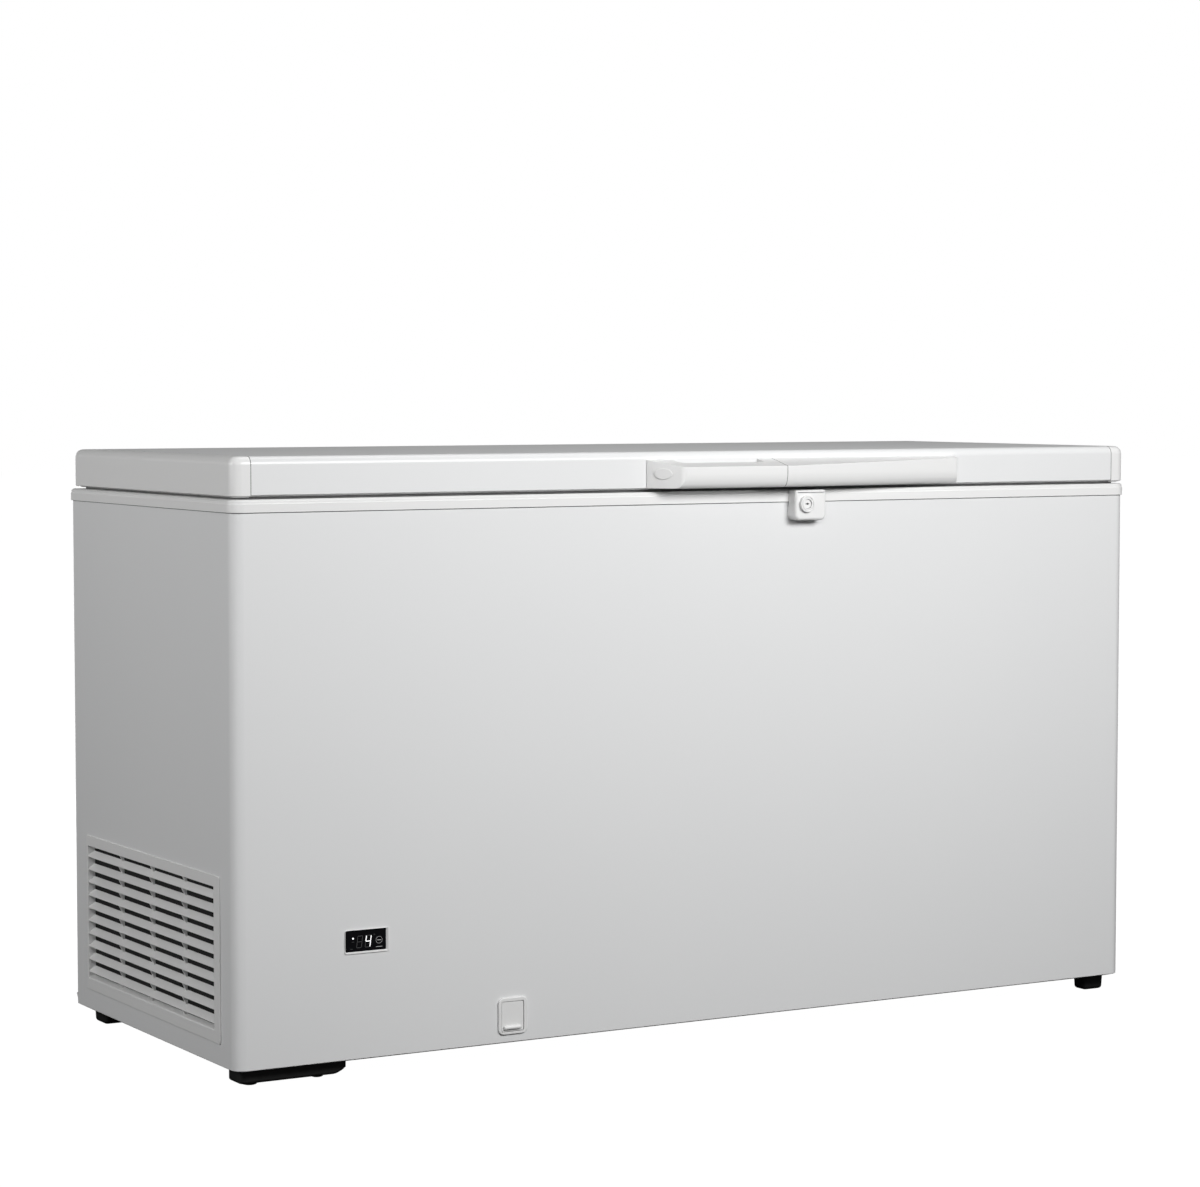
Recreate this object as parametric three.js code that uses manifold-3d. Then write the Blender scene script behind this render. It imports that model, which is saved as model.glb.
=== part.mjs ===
// A chest freezer: insulated cabinet on feet, hinged lid with a long handle, side louvre,
// controller display, defrost drain, lock, hanging baskets and the refrigeration bay.
// Millimetres, +X to the right along the front, +Y to the back, +Z up, floor at z = 0.
import * as THREE from 'three';
import { mergeVertices } from 'three/addons/utils/BufferGeometryUtils.js';
import Module from 'manifold-3d';

const wasm = await Module();
wasm.setup();

// ---- Cabinet ----
const BODY_WIDTH = 1555;
const BODY_DEPTH = 600;
const BODY_HEIGHT = 775; // wrapper's lower edge to the rim's lower edge
const FOOT_HEIGHT = 28;
const CORNER_RADIUS = 18;
const SHEET = 0.8;
const WALL = 65; // finished thickness of an insulated wall
const FLOOR_WALL = 75;
const RETURN_FLANGE = 16;
const GAP = 0.3; // clearance between neighbouring pieces

// ---- Rim round the mouth ----
const RIM_HEIGHT = 18;
const RIM_STEP = 12;
const RIM_PROUD = 3;
const RIM_SET_BACK = 1;
const RIM_BEVEL = 2.4;
const RIM_LAND = 11.4; // thickness of the flat top
const RIM_LIP_HEIGHT = 24;
const RIM_LIP = 2;
const LEDGE_WIDTH = 12;
const LEDGE_DROP = 9;

// ---- Compressor bay at the left end ----
const BAY_LENGTH = 290;
const BAY_HEIGHT = 290;
const STEP_WALL = 50;
const TRAY_SHEET = 1.5;
const VENTS = 5; // slots in the rear panel behind the bay
const VENT_LOW = 70;
const VENT_PITCH = 30;
const VENT_TALL = 9;
const VENT_MARGIN = 65;

// ---- Side louvre ----
const LOUVRE_FRONT = 49.5; // frame edges, from the cabinet's front, back and bottom
const LOUVRE_BACK = 47;
const LOUVRE_LOW = 31;
const LOUVRE_HEAD = 23; // bay's top to the frame's top
const LOUVRE_PROUD = 2;
const LOUVRE_SLEEVE = 12;
const LOUVRE_SKIN = 2;
const LOUVRE_MARGINS = [20, 7, 17, 16]; // front, back, bottom, top of the slotted window
const BLADE_PITCH = 19.6;
const BLADE_RISE = 7;
const BLADE_DEPTH = 10;
const BLADE_SKIN = 2.2;
const SILL_RISE = 3;
const BLADE_TOP_OFFSET = 33.5; // frame's top edge to the first blade's outer edge
const LOUVRE_RIBS = 3;
const RIB_SKIN = 3;
const RIB_SET_BACK = 6;
const BLADE_SET_BACK = 0.6;

// ---- Controller ----
const DISPLAY_LEFT = 167; // bezel's left edge from the cabinet's left end
const DISPLAY_LOW = 152;
const DISPLAY_WIDTH = 70;
const DISPLAY_TALL = 33;
const DISPLAY_FRAME = 2.4;
const DISPLAY_RADIUS = 3.5;
const DISPLAY_PROUD = 1.6;
const LENS_SET_BACK = 1.6;
const LENS_SKIN = 2;
const BEZEL_DEPTH = 8;
const DISPLAY_LAP = 1.2; // flange's overlap on the wall
const MODULE_DEPTH = 46;

// ---- Defrost drain ----
const DRAIN_FROM_LEFT = 436;
const DRAIN_HEIGHT = 38; // centre above the wrapper's lower edge
const DRAIN_WIDTH = 46;
const DRAIN_TALL = 54;
const DRAIN_BORDER = 5.2;
const DRAIN_RADIUS = 9;
const DRAIN_PROUD = 3.2;
const DRAIN_FLANGE = 2.9;
const DRAIN_SLEEVE = 7;
const DRAIN_LAP = 3; // frame's overlap on the wall
const DRAIN_EDGE = 1.6;
const FLAP_SKIN = 1.8;
const FLAP_PIN_RADIUS = 1.5;
const FLAP_LIP = 4;
const FLAP_LIP_RISE = 3.4; // above the flap's lower edge
const FLAP_LIP_SKIN = 2;
const FLAP_LIP_ROOT = 8.6;
const FLAP_LIP_ROUND = 1.2;
const FLAP_LIP_INSET = 3.5;
const FLAP_SHOULDER = 6.5;
const FLAP_CORNER = 4;
const TUBE_RADIUS = 9;
const TUBE_BORE = 6.5;
const TUBE_BEND = 24;
const TUBE_SETBACK = 42; // liner's front wall to the floor drain
const PLUG_FLANGE = 14;

// ---- Lock ----
const LOCK_X = 157.5; // centre of the housing, right of the cabinet's middle
const LOCK_WIDTH = 53;
const LOCK_TALL = 46;
const LOCK_LOW = 747; // above the wrapper's lower edge
const LOCK_PROUD = 22;
const LOCK_RADIUS = 8;
const BARREL_X = 150.5;
const BARREL_HEIGHT = 772;
const COLLAR_RADIUS = 10.5;
const BARREL_RADIUS = 6.6;
const BARREL_CLEARANCE = 0.1;
const BOLT_TRAVEL = 12;
const BOLT_WIDTH = 16;
const BOLT_SKIN = 5;
const BOLT_TIP_WIDTH = 12;
const BOLT_TIP = 2;
const LOCK_BACK_SKIN = 1.6;
const LOCK_EDGE = 3.5;
const COLLAR_SLEEVE = 9;
const COLLAR_PROUD = 2.2;
const COLLAR_LENGTH = 9;
const BARREL_PROUD = 2.8;
const BARREL_LENGTH = 13;
const KEYWAY = [6.4, 1.2];
const BITTING = [1.8, 2.6];

// ---- Feet ----
const SKID_LENGTH = 163;
const SKID_INSET = 19.5; // skid's left end from the cabinet's end
const SKID_DEPTH = 46;
const SKID_SET_BACK = 23;
const SKID_CHAMFER = [18, 8]; // run and rise of the cut at the skid's right end
const SKID_PAD_DROP = 5;
const SKID_PAD_RADII = [12.5, 10.5];
const SKID_PADS = [21, 125]; // pad centres from the skid's left end
const FOOT_WIDTH = 36;
const FOOT_DEPTH = 32;
const FOOT_CORNER = 8;
const FOOT_EDGE = 6; // round of the foot's lower edge
const FOOT_INSETS = [50, 33]; // foot centres from the cabinet's left and right ends
const FOOT_SET_BACKS = [44, 20]; // foot centres from the cabinet's front and back

// ---- Lid ----
const LID_GAP = 5.6; // rim's top to the lid's lower edge
const LID_HEIGHT = 54;
const LID_EDGE_RADIUS = 12;
const LID_CORNER_RADIUS = 16;
const LID_SKIN = 1;
const CAP_LENGTH = 28;
const CAP_SKIN = 2;
const CAP_TIP = 1.2;
const LID_LINER_SKIN = 1.2;
const PLUG_DEPTH = 8;
const PLUG_MARGIN = 14;
const GASKET_INSET = 15;
const GASKET_WIDTH = 14;

// ---- Handle ----
const HANDLE_LEFT = -117;
const HANDLE_RIGHT = 438;
const HANDLE_SEAM = 102;
const HANDLE_REACH = 45;
const HANDLE_WEDGE_RUN = 39; // how far the left end slopes before the bar is level
const HANDLE_TALL = 42.4; // height at the lid's face
const HANDLE_SLOPE = 0.24; // fall of the top face for each millimetre out
const HANDLE_END_REACH = 14;
const HANDLE_TAPER_START = 120;
const FINGER_LEFT = -72;
const FINGER_RIGHT = 76;
const FINGER_DEPTH = 21;
const HANDLE_ROLL = 21; // height of the rounded lower front
const HANDLE_ROLL_IN = 10;
const BADGE_RADII = [13.5, 8];

// ---- Hinges ----
const HINGE_FROM_END = 255;
const HINGE_WIDTH = 60;
const HINGE_SKIN = 2;
const PIVOT_BEHIND = 10;
const PIVOT_RAISE = 2; // above the rim's top
const PIN_RADIUS = 3;
const PIN_CLEARANCE = 0.05;
const KNUCKLE_RADIUS = 6.5;
const LEAF_DROP = 70;
const LEAF_RISE = 40;

// ---- Refrigeration parts ----
const COMPRESSOR_RADIUS = 88;
const COMPRESSOR_TALL = 165;
const COMPRESSOR_SQUASH = 0.84; // depth of the shell over its width
const COMPRESSOR_SEAM = 1.03; // the weld seam's bulge
const GROMMET_RADIUS = 11;
const GROMMET_TALL = 14;
const STUD_RADIUS = 4;
const CONDENSER_FROM_FRONT = 150;
const CONDENSER_THICK = 44;
const CONDENSER_TALL = 190;
const CONDENSER_FINS = 15;
const FAN_RADIUS = 76;
const FAN_HUB = 20;
const FAN_BLADES = 5;
const FAN_STAND_OFF = 14; // behind the condenser
const FAN_RISE = 98; // above the tray
const FAN_PLATE = 3;
const FAN_SHROUD = 14;
const FAN_MOTOR_BACK = 48;
const RELAY_WIDTH = 60;
const RELAY_DEPTH = 44;
const RELAY_TALL = 62;
const RELAY_COVER = 4;
const RELAY_RISE = 40; // above the compressor's plate
const RELAY_CLEARANCE = 7; // behind the fan motor
const RELAY_STAND_OFF = 4.9; // in front of the compressor

// ---- Baskets ----
const BASKET_LENGTH = 300;
const BASKET_DEPTH = 230;
const BASKET_WIRE = 5;
const BASKET_FROM_END = 18;
const BASKET_SIDE_GAP = 8;
const BASKET_LENGTH_WIRES = 4;
const BASKET_WIDTH_WIRES = 5;

// ---- Derived positions ----
const FRONT = -BODY_DEPTH / 2;
const REAR = BODY_DEPTH / 2;
const LEFT = -BODY_WIDTH / 2;
const RIGHT = BODY_WIDTH / 2;
const BOTTOM = FOOT_HEIGHT;
const RIM_LOW = BOTTOM + BODY_HEIGHT;
const RIM_TOP = RIM_LOW + RIM_HEIGHT;
const SHELL_TOP = RIM_TOP - RIM_LAND - GAP;
const LEDGE_TOP = RIM_TOP - LEDGE_DROP;
const PANEL_LOW = BOTTOM + 1;
const BAY_RIGHT = LEFT + BAY_LENGTH;
const BAY_TOP = BOTTOM + BAY_HEIGHT;
const LOUVRE_TALL = BAY_HEIGHT - LOUVRE_LOW - LOUVRE_HEAD;
const CAVITY_LEFT = LEFT + WALL;
const CAVITY_RIGHT = RIGHT - WALL;
const CAVITY_FRONT = FRONT + WALL;
const CAVITY_BACK = REAR - WALL;
const CAVITY_FLOOR = BOTTOM + FLOOR_WALL;
const STEP_TOP = BAY_TOP + STEP_WALL;
const STEP_RIGHT = BAY_RIGHT + STEP_WALL;
const LID_LOW = RIM_TOP + LID_GAP;
const LID_TOP = LID_LOW + LID_HEIGHT;
const PIVOT_Y = REAR + PIVOT_BEHIND;
const PIVOT_Z = RIM_TOP + PIVOT_RAISE;
const ROUND_SIDES = 24;
const TUBE_SIDES = 10;
const PIPE_SIDES = 6;

// ---- Solid-making helpers ----
function signedVolume(positions, triangles) {
  const corner = [new THREE.Vector3(), new THREE.Vector3(), new THREE.Vector3()];
  let total = 0;
  for (let i = 0; i < triangles.length; i += 3) {
    corner.forEach((point, k) => point.fromArray(positions, 3 * triangles[i + k]));
    total += corner[0].dot(corner[1].cross(corner[2]));
  }
  return total / 6;
}

// A closed geometry as a boolean solid facing outward.
function toSolid(geometry) {
  geometry.deleteAttribute('normal');
  geometry.deleteAttribute('uv');
  const merged = mergeVertices(geometry, 1e-4);
  const positions = merged.attributes.position.array;
  const triangles = [];
  for (let i = 0; i < merged.index.count; i += 3) {
    const [a, b, c] = [0, 1, 2].map((k) => merged.index.getX(i + k));
    if (a !== b && b !== c && a !== c) {
      triangles.push(a, b, c);
    }
  }
  if (signedVolume(positions, triangles) < 0) {
    triangles.reverse();
  }
  const mesh = new wasm.Mesh({
    numProp: 3,
    vertProperties: new Float32Array(positions),
    triVerts: new Uint32Array(triangles),
  });
  return new wasm.Manifold(mesh);
}

function toGeometry(solid) {
  const mesh = solid.getMesh();
  const geometry = new THREE.BufferGeometry();
  geometry.setAttribute('position', new THREE.BufferAttribute(mesh.vertProperties, 3));
  geometry.setIndex(new THREE.BufferAttribute(mesh.triVerts, 1));
  geometry.computeVertexNormals();
  return geometry;
}

function union(solids) {
  return solids.reduce((whole, next) => whole.add(next));
}

function cut(solid, tools) {
  return tools.reduce((rest, tool) => rest.subtract(tool), solid);
}

function block(x0, x1, y0, y1, z0, z1) {
  const geometry = new THREE.BoxGeometry(x1 - x0, y1 - y0, z1 - z0);
  geometry.translate((x0 + x1) / 2, (y0 + y1) / 2, (z0 + z1) / 2);
  return toSolid(geometry);
}

// A closed outline through [x, y, radius] corners, each corner rounded by its radius.
function rounded(corners, steps = 4) {
  const points = [];
  corners.forEach(([x, y, radius = 0], i) => {
    const here = new THREE.Vector2(x, y);
    if (radius <= 0) {
      points.push(here);
      return;
    }
    const previous = corners[(i + corners.length - 1) % corners.length];
    const next = corners[(i + 1) % corners.length];
    const back = new THREE.Vector2(previous[0], previous[1]).sub(here).normalize();
    const ahead = new THREE.Vector2(next[0], next[1]).sub(here).normalize();
    const half = Math.acos(back.dot(ahead)) / 2;
    const centre = back.clone().add(ahead).setLength(radius / Math.sin(half)).add(here);
    const start = back.multiplyScalar(radius / Math.tan(half)).add(here).sub(centre);
    const end = ahead.multiplyScalar(radius / Math.tan(half)).add(here).sub(centre);
    const turn = Math.atan2(start.cross(end), start.dot(end));
    for (let k = 0; k <= steps; k += 1) {
      points.push(start.clone().rotateAround(new THREE.Vector2(), (turn * k) / steps).add(centre));
    }
  });
  return new THREE.Shape(points);
}

function rectangle(x0, x1, y0, y1, radius = 0, steps = 4) {
  return rounded([[x0, y0, radius], [x1, y0, radius], [x1, y1, radius], [x0, y1, radius]], steps);
}

function circle(x, y, radius, sides = ROUND_SIDES) {
  const points = [];
  for (let i = 0; i < sides; i += 1) {
    const angle = (2 * Math.PI * (i + 0.5)) / sides;
    points.push(new THREE.Vector2(x + radius * Math.cos(angle), y + radius * Math.sin(angle)));
  }
  return new THREE.Shape(points);
}

// Prisms along each axis: the outline is drawn in (x, y), (y, z) or (x, z).
function prismZ(shape, z0, z1) {
  const geometry = new THREE.ExtrudeGeometry(shape, { depth: z1 - z0, bevelEnabled: false });
  geometry.translate(0, 0, z0);
  return toSolid(geometry);
}

function prismX(shape, x0, x1) {
  const geometry = new THREE.ExtrudeGeometry(shape, { depth: x1 - x0, bevelEnabled: false });
  const basis = new THREE.Matrix4().makeBasis(
    new THREE.Vector3(0, 1, 0),
    new THREE.Vector3(0, 0, 1),
    new THREE.Vector3(1, 0, 0),
  );
  geometry.applyMatrix4(basis);
  geometry.translate(x0, 0, 0);
  return toSolid(geometry);
}

function prismY(shape, y0, y1) {
  const geometry = new THREE.ExtrudeGeometry(shape, { depth: y1 - y0, bevelEnabled: false });
  geometry.rotateX(Math.PI / 2);
  geometry.translate(0, y1, 0);
  return toSolid(geometry);
}

// A slab standing on z0 whose upper edge is rounded (or chamfered when steps is 1).
function domedSlab(shape, z0, z1, radius, steps) {
  const geometry = new THREE.ExtrudeGeometry(shape, {
    depth: z1 - z0 + radius,
    bevelEnabled: true,
    bevelThickness: radius,
    bevelSize: radius,
    bevelOffset: -radius,
    bevelSegments: steps,
  });
  geometry.translate(0, 0, z0 - 2 * radius);
  const reach = 2 * (BODY_WIDTH + BODY_DEPTH);
  return toSolid(geometry).subtract(block(-reach, reach, -reach, reach, z0 - 4 * radius, z0));
}

function turned(profile, sides = ROUND_SIDES) {
  const geometry = new THREE.LatheGeometry(profile.map(([r, z]) => new THREE.Vector2(r, z)), sides);
  geometry.rotateX(Math.PI / 2);
  return toSolid(geometry);
}

function rodAlong(points, radius, sides, steps) {
  const path = new THREE.CatmullRomCurve3(points.map((p) => new THREE.Vector3(...p)), false, 'centripetal');
  const geometry = new THREE.ExtrudeGeometry(circle(0, 0, radius, sides), { extrudePath: path, steps });
  return toSolid(geometry);
}

const FINISHES = {
  whiteSteel: { color: 0xe9eaea, roughness: 0.42, metalness: 0 },
  whitePlastic: { color: 0xececec, roughness: 0.4, metalness: 0 },
  linerWhite: { color: 0xf0f1f1, roughness: 0.35, metalness: 0 },
  foam: { color: 0xe3cf9a, roughness: 0.9, metalness: 0 },
  zinc: { color: 0xaeb2b5, roughness: 0.4, metalness: 0.8 },
  blackPlastic: { color: 0x161616, roughness: 0.5, metalness: 0 },
  blackGloss: { color: 0x0a0b0c, roughness: 0.08, metalness: 0 },
  blackEnamel: { color: 0x101113, roughness: 0.35, metalness: 0.1 },
  rubber: { color: 0x2a2a2a, roughness: 0.85, metalness: 0 },
  greyGasket: { color: 0x8c9094, roughness: 0.7, metalness: 0 },
  chrome: { color: 0xc9cccf, roughness: 0.18, metalness: 1 },
  copper: { color: 0xb8734a, roughness: 0.3, metalness: 1 },
  aluminium: { color: 0xb9bcbf, roughness: 0.35, metalness: 0.9 },
};

function place(parent, name, solid, finish, position = [0, 0, 0]) {
  const mesh = new THREE.Mesh(toGeometry(solid), new THREE.MeshStandardMaterial(FINISHES[finish]));
  mesh.name = name;
  mesh.position.set(...position);
  parent.add(mesh);
  return mesh;
}

// The cabinet's plan outline with rounded front corners, drawn in or out by an inset.
function bodyOutline(inset, rearInset = inset) {
  const radius = CORNER_RADIUS - inset;
  return rounded([
    [LEFT + inset, FRONT + inset, radius],
    [RIGHT - inset, FRONT + inset, radius],
    [RIGHT - inset, REAR - rearInset, 0],
    [LEFT + inset, REAR - rearInset, 0],
  ], 6);
}

function bodyForm(inset, z0, z1, rearInset = inset) {
  return prismZ(bodyOutline(inset, rearInset), z0, z1);
}

// ---- Cabinet shell ----
const louvre = {
  y0: FRONT + LOUVRE_FRONT,
  y1: REAR - LOUVRE_BACK,
  z0: BOTTOM + LOUVRE_LOW,
  z1: BOTTOM + LOUVRE_LOW + LOUVRE_TALL,
};
const louvreWindow = {
  y0: louvre.y0 + LOUVRE_MARGINS[0],
  y1: louvre.y1 - LOUVRE_MARGINS[1],
  z0: louvre.z0 + LOUVRE_MARGINS[2],
  z1: louvre.z1 - LOUVRE_MARGINS[3],
};
const display = {
  x0: LEFT + DISPLAY_LEFT,
  x1: LEFT + DISPLAY_LEFT + DISPLAY_WIDTH,
  z0: BOTTOM + DISPLAY_LOW,
  z1: BOTTOM + DISPLAY_LOW + DISPLAY_TALL,
};
const drain = {
  x: LEFT + DRAIN_FROM_LEFT,
  z: BOTTOM + DRAIN_HEIGHT,
};

// An upright rectangle standing in the front wall, grown by a margin, between two depths.
function displayBlock(grow, y0, y1) {
  const radius = Math.max(DISPLAY_RADIUS + grow, 0.5);
  const shape = rectangle(display.x0 - grow, display.x1 + grow, display.z0 - grow, display.z1 + grow, radius);
  return prismY(shape, y0, y1);
}

function drainBlock(grow, y0, y1) {
  const x = DRAIN_WIDTH / 2 + grow;
  const z = DRAIN_TALL / 2 + grow;
  const radius = Math.max(DRAIN_RADIUS + grow, 1);
  return prismY(rectangle(drain.x - x, drain.x + x, drain.z - z, drain.z + z, radius), y0, y1);
}

function louvreBlock(grow, x0, x1, frame = louvreWindow) {
  return block(x0, x1, frame.y0 - grow, frame.y1 + grow, frame.z0 - grow, frame.z1 + grow);
}

function outerWrapper() {
  const shell = bodyForm(0, BOTTOM, SHELL_TOP).subtract(bodyForm(SHEET, BOTTOM - 1, SHELL_TOP + 1));
  const rearWindow = block(LEFT + RETURN_FLANGE, RIGHT - RETURN_FLANGE, REAR - 2, REAR + 1, 0, RIM_TOP);
  return cut(shell, [
    rearWindow,
    louvreBlock(LOUVRE_SKIN + GAP, LEFT - 1, LEFT + 2),
    displayBlock(-DISPLAY_LAP, FRONT - 1, FRONT + 2),
    drainBlock(-DRAIN_LAP, FRONT - 1, FRONT + 2),
  ]);
}

function rearPanel() {
  const y1 = REAR - SHEET - GAP;
  const inset = SHEET + GAP;
  const sheet = block(LEFT + inset, RIGHT - inset, y1 - SHEET, y1, PANEL_LOW, SHELL_TOP);
  const vents = [];
  for (let i = 0; i < VENTS; i += 1) {
    const z = BOTTOM + VENT_LOW + i * VENT_PITCH;
    const slot = rectangle(LEFT + VENT_MARGIN, BAY_RIGHT - VENT_MARGIN, z, z + VENT_TALL, VENT_TALL * 0.45, 2);
    vents.push(prismY(slot, y1 - 3 * SHEET, y1 + 3 * SHEET));
  }
  return cut(sheet, vents);
}

function basePanel() {
  const inner = LEFT + SHEET + GAP;
  const outer = RIGHT - SHEET - GAP;
  const profile = rounded([
    [outer, PANEL_LOW],
    [outer, PANEL_LOW + SHEET],
    [BAY_RIGHT + SHEET, PANEL_LOW + SHEET],
    [BAY_RIGHT + SHEET, BAY_TOP + SHEET],
    [inner, BAY_TOP + SHEET],
    [inner, BAY_TOP],
    [BAY_RIGHT, BAY_TOP],
    [BAY_RIGHT, PANEL_LOW],
  ]);
  const bent = prismY(profile, FRONT, REAR - 2 * SHEET - 2 * GAP);
  return bent.intersect(bodyForm(SHEET + GAP, 0, RIM_TOP));
}

function compressorTray() {
  const back = REAR - 2 * SHEET - 2 * GAP;
  const plate = block(LEFT + SHEET + GAP, BAY_RIGHT - GAP, FRONT, back, PANEL_LOW, PANEL_LOW + TRAY_SHEET);
  return plate.intersect(bodyForm(SHEET + GAP, 0, RIM_TOP));
}

// The storage space in profile, with the step over the compressor bay, grown outward.
function cavityForm(grow, top) {
  const profile = rounded([
    [CAVITY_LEFT - grow, top],
    [CAVITY_LEFT - grow, STEP_TOP - grow],
    [STEP_RIGHT - grow, STEP_TOP - grow],
    [STEP_RIGHT - grow, CAVITY_FLOOR - grow],
    [CAVITY_RIGHT + grow, CAVITY_FLOOR - grow],
    [CAVITY_RIGHT + grow, top],
  ]);
  return prismY(profile, CAVITY_FRONT - grow, CAVITY_BACK + grow);
}

const floorDrain = { x: drain.x, y: CAVITY_FRONT + TUBE_SETBACK };
const tubeEnd = FRONT + DRAIN_SLEEVE + 2;

function tubeForm(radius, overrun) {
  const bend = TUBE_BEND;
  const top = CAVITY_FLOOR - SHEET - GAP;
  const { x, y } = floorDrain;
  const pipe = rodAlong([
    [x, y, top],
    [x, y, drain.z + bend * 0.8],
    [x, y - bend * 0.3, drain.z + bend * 0.3],
    [x, y - bend * 0.9, drain.z],
    [x, tubeEnd, drain.z],
  ], radius, TUBE_SIDES, 12);
  const mouth = prismZ(circle(x, y, radius, TUBE_SIDES), top - 1, top + overrun);
  const outlet = prismY(circle(x, drain.z, radius, TUBE_SIDES), tubeEnd - overrun, tubeEnd + 1);
  return overrun > 0 ? union([pipe, mouth, outlet]) : pipe;
}

function innerLiner() {
  const hole = prismZ(circle(floorDrain.x, floorDrain.y, TUBE_BORE), CAVITY_FLOOR - 5, CAVITY_FLOOR + 5);
  return cut(cavityForm(SHEET, SHELL_TOP), [cavityForm(0, SHELL_TOP + 1), hole]);
}

function cabinetFoam() {
  const inset = SHEET + GAP;
  const low = PANEL_LOW + SHEET + GAP;
  const filled = bodyForm(inset, low, SHELL_TOP, 2 * SHEET + 3 * GAP);
  const bayEdge = SHEET + GAP;
  const bay = block(LEFT - 1, BAY_RIGHT + bayEdge, FRONT - 1, REAR + 1, 0, BAY_TOP + bayEdge);
  return cut(filled, [
    bay,
    cavityForm(SHEET + GAP, SHELL_TOP + 1),
    tubeForm(TUBE_RADIUS + GAP, 4),
    drainBlock(-2, FRONT - 1, FRONT + DRAIN_SLEEVE + 6),
  ]);
}

function topRim() {
  const wide = (grow, z0, z1) => block(
    CAVITY_LEFT - grow, CAVITY_RIGHT + grow, CAVITY_FRONT - grow, CAVITY_BACK + grow, z0, z1,
  );
  const band = bodyForm(-RIM_PROUD, RIM_LOW, RIM_LOW + RIM_STEP, 0);
  const upperOutline = bodyOutline(RIM_SET_BACK - RIM_PROUD, 0);
  const upper = domedSlab(upperOutline, RIM_LOW + RIM_STEP, RIM_TOP, RIM_BEVEL, 1);
  const lip = wide(-GAP, RIM_TOP - RIM_LIP_HEIGHT, RIM_LOW + RIM_STEP);
  const sleeve = bodyForm(-GAP, RIM_LOW - 1, SHELL_TOP + GAP, -1).subtract(wide(-GAP, 0, 2 * RIM_TOP));
  return cut(union([band, upper, lip]), [
    sleeve,
    wide(-GAP - RIM_LIP, 0, 2 * RIM_TOP),
    wide(LEDGE_WIDTH, LEDGE_TOP, 2 * RIM_TOP),
  ]);
}

// ---- Side louvre: a flanged frame with sloping blades crossed by ribs ----
function sideLouvre() {
  const inner = LEFT + LOUVRE_SLEEVE;
  const flange = louvreBlock(0, LEFT - LOUVRE_PROUD, LEFT - GAP, louvre);
  const sleeve = louvreBlock(LOUVRE_SKIN, LEFT - LOUVRE_PROUD, inner);
  const frame = union([flange, sleeve]).subtract(louvreBlock(0, LEFT - LOUVRE_PROUD - 1, inner + 1));
  const pieces = [frame];
  const outer = LEFT - LOUVRE_PROUD + BLADE_SET_BACK;
  const lastBlade = (LOUVRE_TALL - BLADE_TOP_OFFSET - LOUVRE_MARGINS[2]) / BLADE_PITCH;
  const blade = (z, rise) => prismY(rounded([
    [outer, z],
    [outer + BLADE_DEPTH, z + rise],
    [outer + BLADE_DEPTH, z + rise + BLADE_SKIN],
    [outer, z + BLADE_SKIN],
  ]), louvreWindow.y0 - 1, louvreWindow.y1 + 1);
  for (let i = 0; i <= lastBlade; i += 1) {
    pieces.push(blade(louvre.z1 - BLADE_TOP_OFFSET - i * BLADE_PITCH, BLADE_RISE));
  }
  pieces.push(blade(louvreWindow.z0 - BLADE_SKIN / 2, SILL_RISE));
  for (let i = 1; i <= LOUVRE_RIBS; i += 1) {
    const y = louvreWindow.y0 + ((louvreWindow.y1 - louvreWindow.y0) * i) / (LOUVRE_RIBS + 1);
    const [z0, z1] = [louvreWindow.z0 - 1, louvreWindow.z1 + 1];
    pieces.push(block(outer + RIB_SET_BACK, inner, y - RIB_SKIN / 2, y + RIB_SKIN / 2, z0, z1));
  }
  return union(pieces);
}

// ---- Controller display ----
function displayBezel() {
  const flange = displayBlock(0, FRONT - DISPLAY_PROUD, FRONT - GAP);
  const sleeve = displayBlock(-DISPLAY_LAP - GAP, FRONT - DISPLAY_PROUD, FRONT + BEZEL_DEPTH);
  const opening = displayBlock(-DISPLAY_FRAME, FRONT - DISPLAY_PROUD - 1, FRONT + BEZEL_DEPTH + 1);
  return union([flange, sleeve]).subtract(opening);
}

function displayLens() {
  const y0 = FRONT - DISPLAY_PROUD + LENS_SET_BACK;
  return displayBlock(-DISPLAY_FRAME - GAP, y0, y0 + LENS_SKIN);
}

function displayModule() {
  const y0 = FRONT - DISPLAY_PROUD + LENS_SET_BACK + LENS_SKIN + GAP;
  const board = displayBlock(-DISPLAY_FRAME - GAP, y0, FRONT + BEZEL_DEPTH + GAP);
  const box = displayBlock(-DISPLAY_LAP, FRONT + BEZEL_DEPTH + GAP, FRONT + MODULE_DEPTH);
  return board.add(box);
}

// ---- Defrost drain ----
function drainFrame() {
  const sleeveGrow = -DRAIN_LAP - GAP;
  const bezel = domedSlab(
    rectangle(-DRAIN_WIDTH / 2, DRAIN_WIDTH / 2, -DRAIN_TALL / 2, DRAIN_TALL / 2, DRAIN_RADIUS),
    0, DRAIN_FLANGE, DRAIN_EDGE, 2,
  );
  const turnedOut = bezel.rotate([90, 0, 0]).translate([drain.x, FRONT - GAP, drain.z]);
  const sleeve = drainBlock(sleeveGrow, FRONT - GAP - 1, FRONT + DRAIN_SLEEVE);
  const opening = drainBlock(-DRAIN_BORDER, FRONT - DRAIN_PROUD - 1, FRONT + DRAIN_SLEEVE + 1);
  return union([turnedOut, sleeve]).subtract(opening);
}

const flapPivot = {
  y: FRONT - GAP - FLAP_PIN_RADIUS,
  z: drain.z + DRAIN_TALL / 2 - DRAIN_BORDER - GAP - FLAP_PIN_RADIUS,
};

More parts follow.
